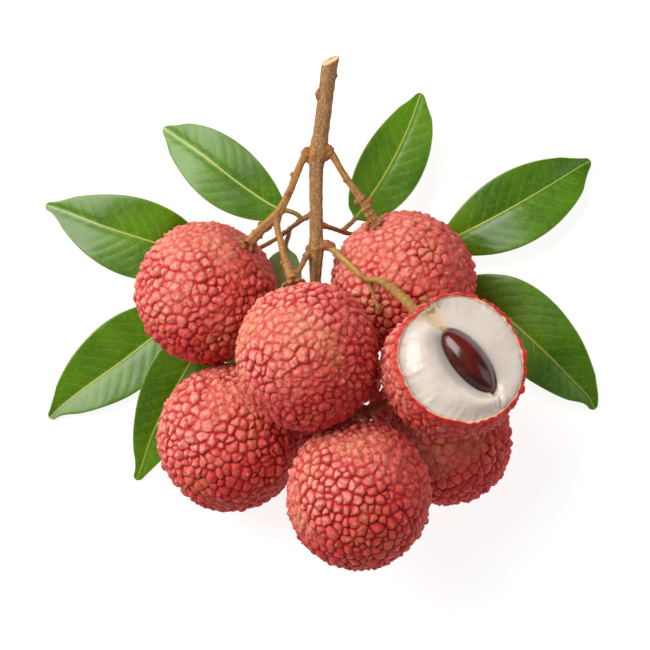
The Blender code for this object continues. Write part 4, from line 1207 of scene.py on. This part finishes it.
def makeWood(name, group, rings, swellings, calyxes, nodes, material, seed):
    pieces = [addTube(one["route"], one["radii"]) for one in group.values()]
    pieces += [addCollar(group[key], passed, over) for key, passed, over in rings]
    for place, radius in swellings:
        deselectAll()
        bpy.ops.mesh.primitive_ico_sphere_add(subdivisions=3, radius=radius * mm,
                                              location=Vector(place) * mm)
        pieces.append(bpy.context.object)
    for number, (key, outward) in enumerate(calyxes.items()):
        one = group[key]
        pieces += addCalyx(one["route"][-1], outward, one["radii"][-1], seed + number)
    stem = weldWood(pieces)
    if "main" in group:
        sawTop()

    # the bark follows the nearest stalk: its own length and turn are kept for the material
    points = meshPoints(stem) / mm
    offset, ahead, run, tint = alongStalks(group, points)
    outward = unit(offset + 1e-9)
    side = unit(np.cross(ahead, [0.31, 0.17, 0.93]))
    other = np.cross(ahead, side)
    barkPlace = np.stack([(outward * side).sum(1) * wood["barkTurn"],
                          (outward * other).sum(1) * wood["barkTurn"], run * wood["barkRun"]], 1)
    grooves = softNoise(barkPlace, 0.42, seed) * 0.6 + softNoise(barkPlace, 0.2, seed + 1) * 0.4
    ridges = softNoise(barkPlace * np.array([1.0, 1.0, 0.35]), 0.95, seed + 4)
    hoops = softNoise(barkPlace * np.array([0.15, 0.15, 10.0]), 0.9, seed + 2)
    bumps = softNoise(points, 1.1, seed + 3)
    toCut = (points - np.array(wood["cutPlace"])) @ unit(np.array(wood["cutFacing"]))
    height = wood["barkGroove"] * (grooves + 0.45 * hoops + 0.8 * bumps) + wood["ridge"] * ridges
    height = height * (toCut < -0.02)
    setPoints(stem, (points + outward * height[:, None]) * mm)
    layer = stem.data.attributes.new("barkPlace", "FLOAT_VECTOR", "POINT")
    layer.data.foreach_set("vector", np.ascontiguousarray(barkPlace, np.float32).ravel())
    addAttribute(stem, "ridge", ridges)
    addAttribute(stem, "scar", scarMarks(group, swellings, calyxes, points, offset))
    addAttribute(stem, "ochre", tint)
    sapwood = stalks["main"]["radii"][1] - 0.5 * wood["barkRim"]
    inCut = (toCut > -0.02) & (np.linalg.norm(offset, axis=1) < sapwood)
    addAttribute(stem, "cutEnd", inCut.astype(float))
    finishPiece(stem, name, material, nodes)
    deselectAll()
    stem.select_set(True)
    bpy.context.view_layer.objects.active = stem
    bpy.ops.object.shade_smooth_by_angle(angle=math.radians(wood["sharpAngle"]))


def barkMaterial(name, old, young, roughness):
    # lychee bark: thin dry bark, fibrous along the stem with pale corky specks; it is matte,
    # and the fresh cut at the end is pale sapwood. Each of old and young gives a dark, a middle
    # and a light colour.
    made, tree, shader = newMaterial(name, {"Roughness": roughness, "IOR": 1.45,
                                            "Specular IOR Level": 0.3})
    part = {key: (addNode(tree, "mark", attribute_name=key), "Fac")
            for key in ("cutEnd", "ochre", "ridge", "scar")}
    bark = addNode(tree, "mark", attribute_name="barkPlace"), "Vector"
    place = addNode(tree, "place"), "Object"
    fibres = addNode(tree, "noise", bark, Scale=5.5, Detail=4.0, Roughness=0.65)
    grain = addNode(tree, "noise", place, Scale=1 / (0.5 * mm), Detail=3.0, Roughness=0.7)
    spots = addNode(tree, "cells", place, Scale=1 / (0.7 * mm))
    tone = addNode(tree, "noise", place, Scale=1 / (5 * mm), Detail=2.0)
    kinds = []
    for dark, middle, light in (old, young):
        brown = addNode(tree, "mix", addNode(tree, "range", fibres, 0.34, 0.60), dark, middle)
        brown = addNode(tree, "mix", addNode(tree, "range", grain, 0.48, 0.66, 0.0, 0.6), brown, light)
        brown = addNode(tree, "mix", addNode(tree, "range", spots, 0.26, 0.12, 0.0, 0.6), brown, light)
        kinds.append(brown)
    youth = addNode(tree, "add", part["ochre"], addNode(tree, "range", tone, 0.35, 0.65, -0.25, 0.15))
    brown = addNode(tree, "mix", addNode(tree, "range", youth, 0.15, 0.85), *kinds)
    # the furrows between the ridges painted darker: painted shade
    furrowShade = addNode(tree, "range", part["ridge"], 0.1, -0.6, 0.0, 0.55)
    brown = addNode(tree, "mix", furrowShade, brown, old[0])
    scarred = addNode(tree, "range", part["scar"], 0.25, 0.9, 0.0, 0.6)
    brown = addNode(tree, "mix", scarred, brown, "9a5238")
    brown = addNode(tree, "mix", part["cutEnd"], brown, "e6c795")
    feed(tree, shader.inputs["Base Color"], brown)
    relief = addNode(tree, "add", fibres, addNode(tree, "multiply", grain, 0.6))
    bump = addNode(tree, "bump", Strength=0.6, Distance=0.25 * mm, Height=relief)
    feed(tree, shader.inputs["Normal"], bump)
    return made


makeWood("lychee_stem", stalks, collars, knots,
         {"upperLeft": wholeFruits["fruit_upper_left"]["stemEnd"],
          "upperRight": wholeFruits["fruit_upper_right"]["stemEnd"],
          "centre": wholeFruits["fruit_centre"]["stemEnd"]},
         ["main_stem", "stalk_upper_left", "stalk_centre", "spur_centre", "stalk_upper_right",
          "stalk_lower_left", "stalk_lower_centre", "stalk_lower_right", "stalk_inner_middle",
          "stalk_inner_right", "stalk_inner_left", "leaf_twig_left", "leaf_twig_right"],
         barkMaterial("lychee bark, dry and fibrous", ("7a5434", "a87c50", "cfae80"),
                              ("8e5e30", "b98648", "d8b478"), 0.74), 7)
makeWood("lychee_young_stalk", youngStalks, youngCollars, youngKnots,
         {"cutFruit": cutFruit["stemEnd"]}, ["stalk_cut_fruit", "side_twig"],
         barkMaterial("young lychee bark, still green", ("956a38", "c49a52", "e4ca88"),
                                    ("9c7c38", "ccaa54", "ecd690"), 0.6), 17)
print("stem made")


# ---- floor, light and camera

studio = {
    "floorSize": 6.0,         # m
    "floorDrop": 0.2,         # mm that the floor lies under the bunch
    "floorGlow": 0.84,        # its own light, which keeps it white
    "airLight": 0.17,
    "softboxes": {            # place and size in m, power in W, colour
        "key softbox": ((-0.62, 0.52, 0.86), (0.90, 0.90), 17.4, "fffaf4"),
        "side softbox": ((0.95, -0.10, 0.60), (0.70, 0.90), 2.0, "ffffff"),
    },
    "softboxAim": (0, 0, 0.02),
    "cameraHeight": 1.5,      # m over the surface
    "aim": (0.9, -3.0),       # mm, the middle of the picture
    "fieldWidth": 169.0,      # mm seen across, at the leaves
    "leafHeight": 3.0,        # mm, where that is measured
}

deselectAll()
bpy.ops.mesh.primitive_plane_add(size=studio["floorSize"],
                                 location=(0, 0, -studio["floorDrop"] * mm))
floor = bpy.context.object
floor.name = "studio_floor"
floorPaint, floorTree, floorShader = newMaterial("matte white studio floor, lit through", {
    "Base Color": linearColour("a4a4a4"), "Roughness": 0.9, "Specular IOR Level": 0.0,
    "Emission Color": linearColour("ffffff"), "Emission Strength": studio["floorGlow"]})
floor.data.materials.append(floorPaint)


def addSoftbox(name, location, size, power, colour):
    data = bpy.data.lights.new(name, "AREA")
    data.shape = "RECTANGLE"
    data.size, data.size_y = size
    data.energy = power
    data.color = linearColour(colour)[:3]
    lamp = bpy.data.objects.new(name, data)
    bpy.context.scene.collection.objects.link(lamp)
    lamp.location = location
    ahead = Vector(studio["softboxAim"]) - Vector(location)
    lamp.rotation_euler = ahead.to_track_quat("-Z", "Y").to_euler()


for name, choice in studio["softboxes"].items():
    addSoftbox(name, *choice)

world = bpy.data.worlds.new("studio air")
bpy.context.scene.world = world
world.use_nodes = True
air = world.node_tree.nodes["Background"]
air.inputs["Color"].default_value = linearColour("ffffff")
air.inputs["Strength"].default_value = studio["airLight"]

view = bpy.data.cameras.new("overhead camera")
view.sensor_width = 36.0
height = studio["cameraHeight"]
view.lens = view.sensor_width * (height / mm - studio["leafHeight"]) / studio["fieldWidth"]
view.clip_end = 10.0
camera = bpy.data.objects.new("overhead camera", view)
bpy.context.scene.collection.objects.link(camera)
camera.location = (studio["aim"][0] * mm, studio["aim"][1] * mm, height)
bpy.context.scene.camera = camera

bpy.context.scene.view_settings.view_transform = "Standard"
bpy.context.scene.view_settings.look = "None"
bpy.context.scene.view_settings.exposure = 0.0
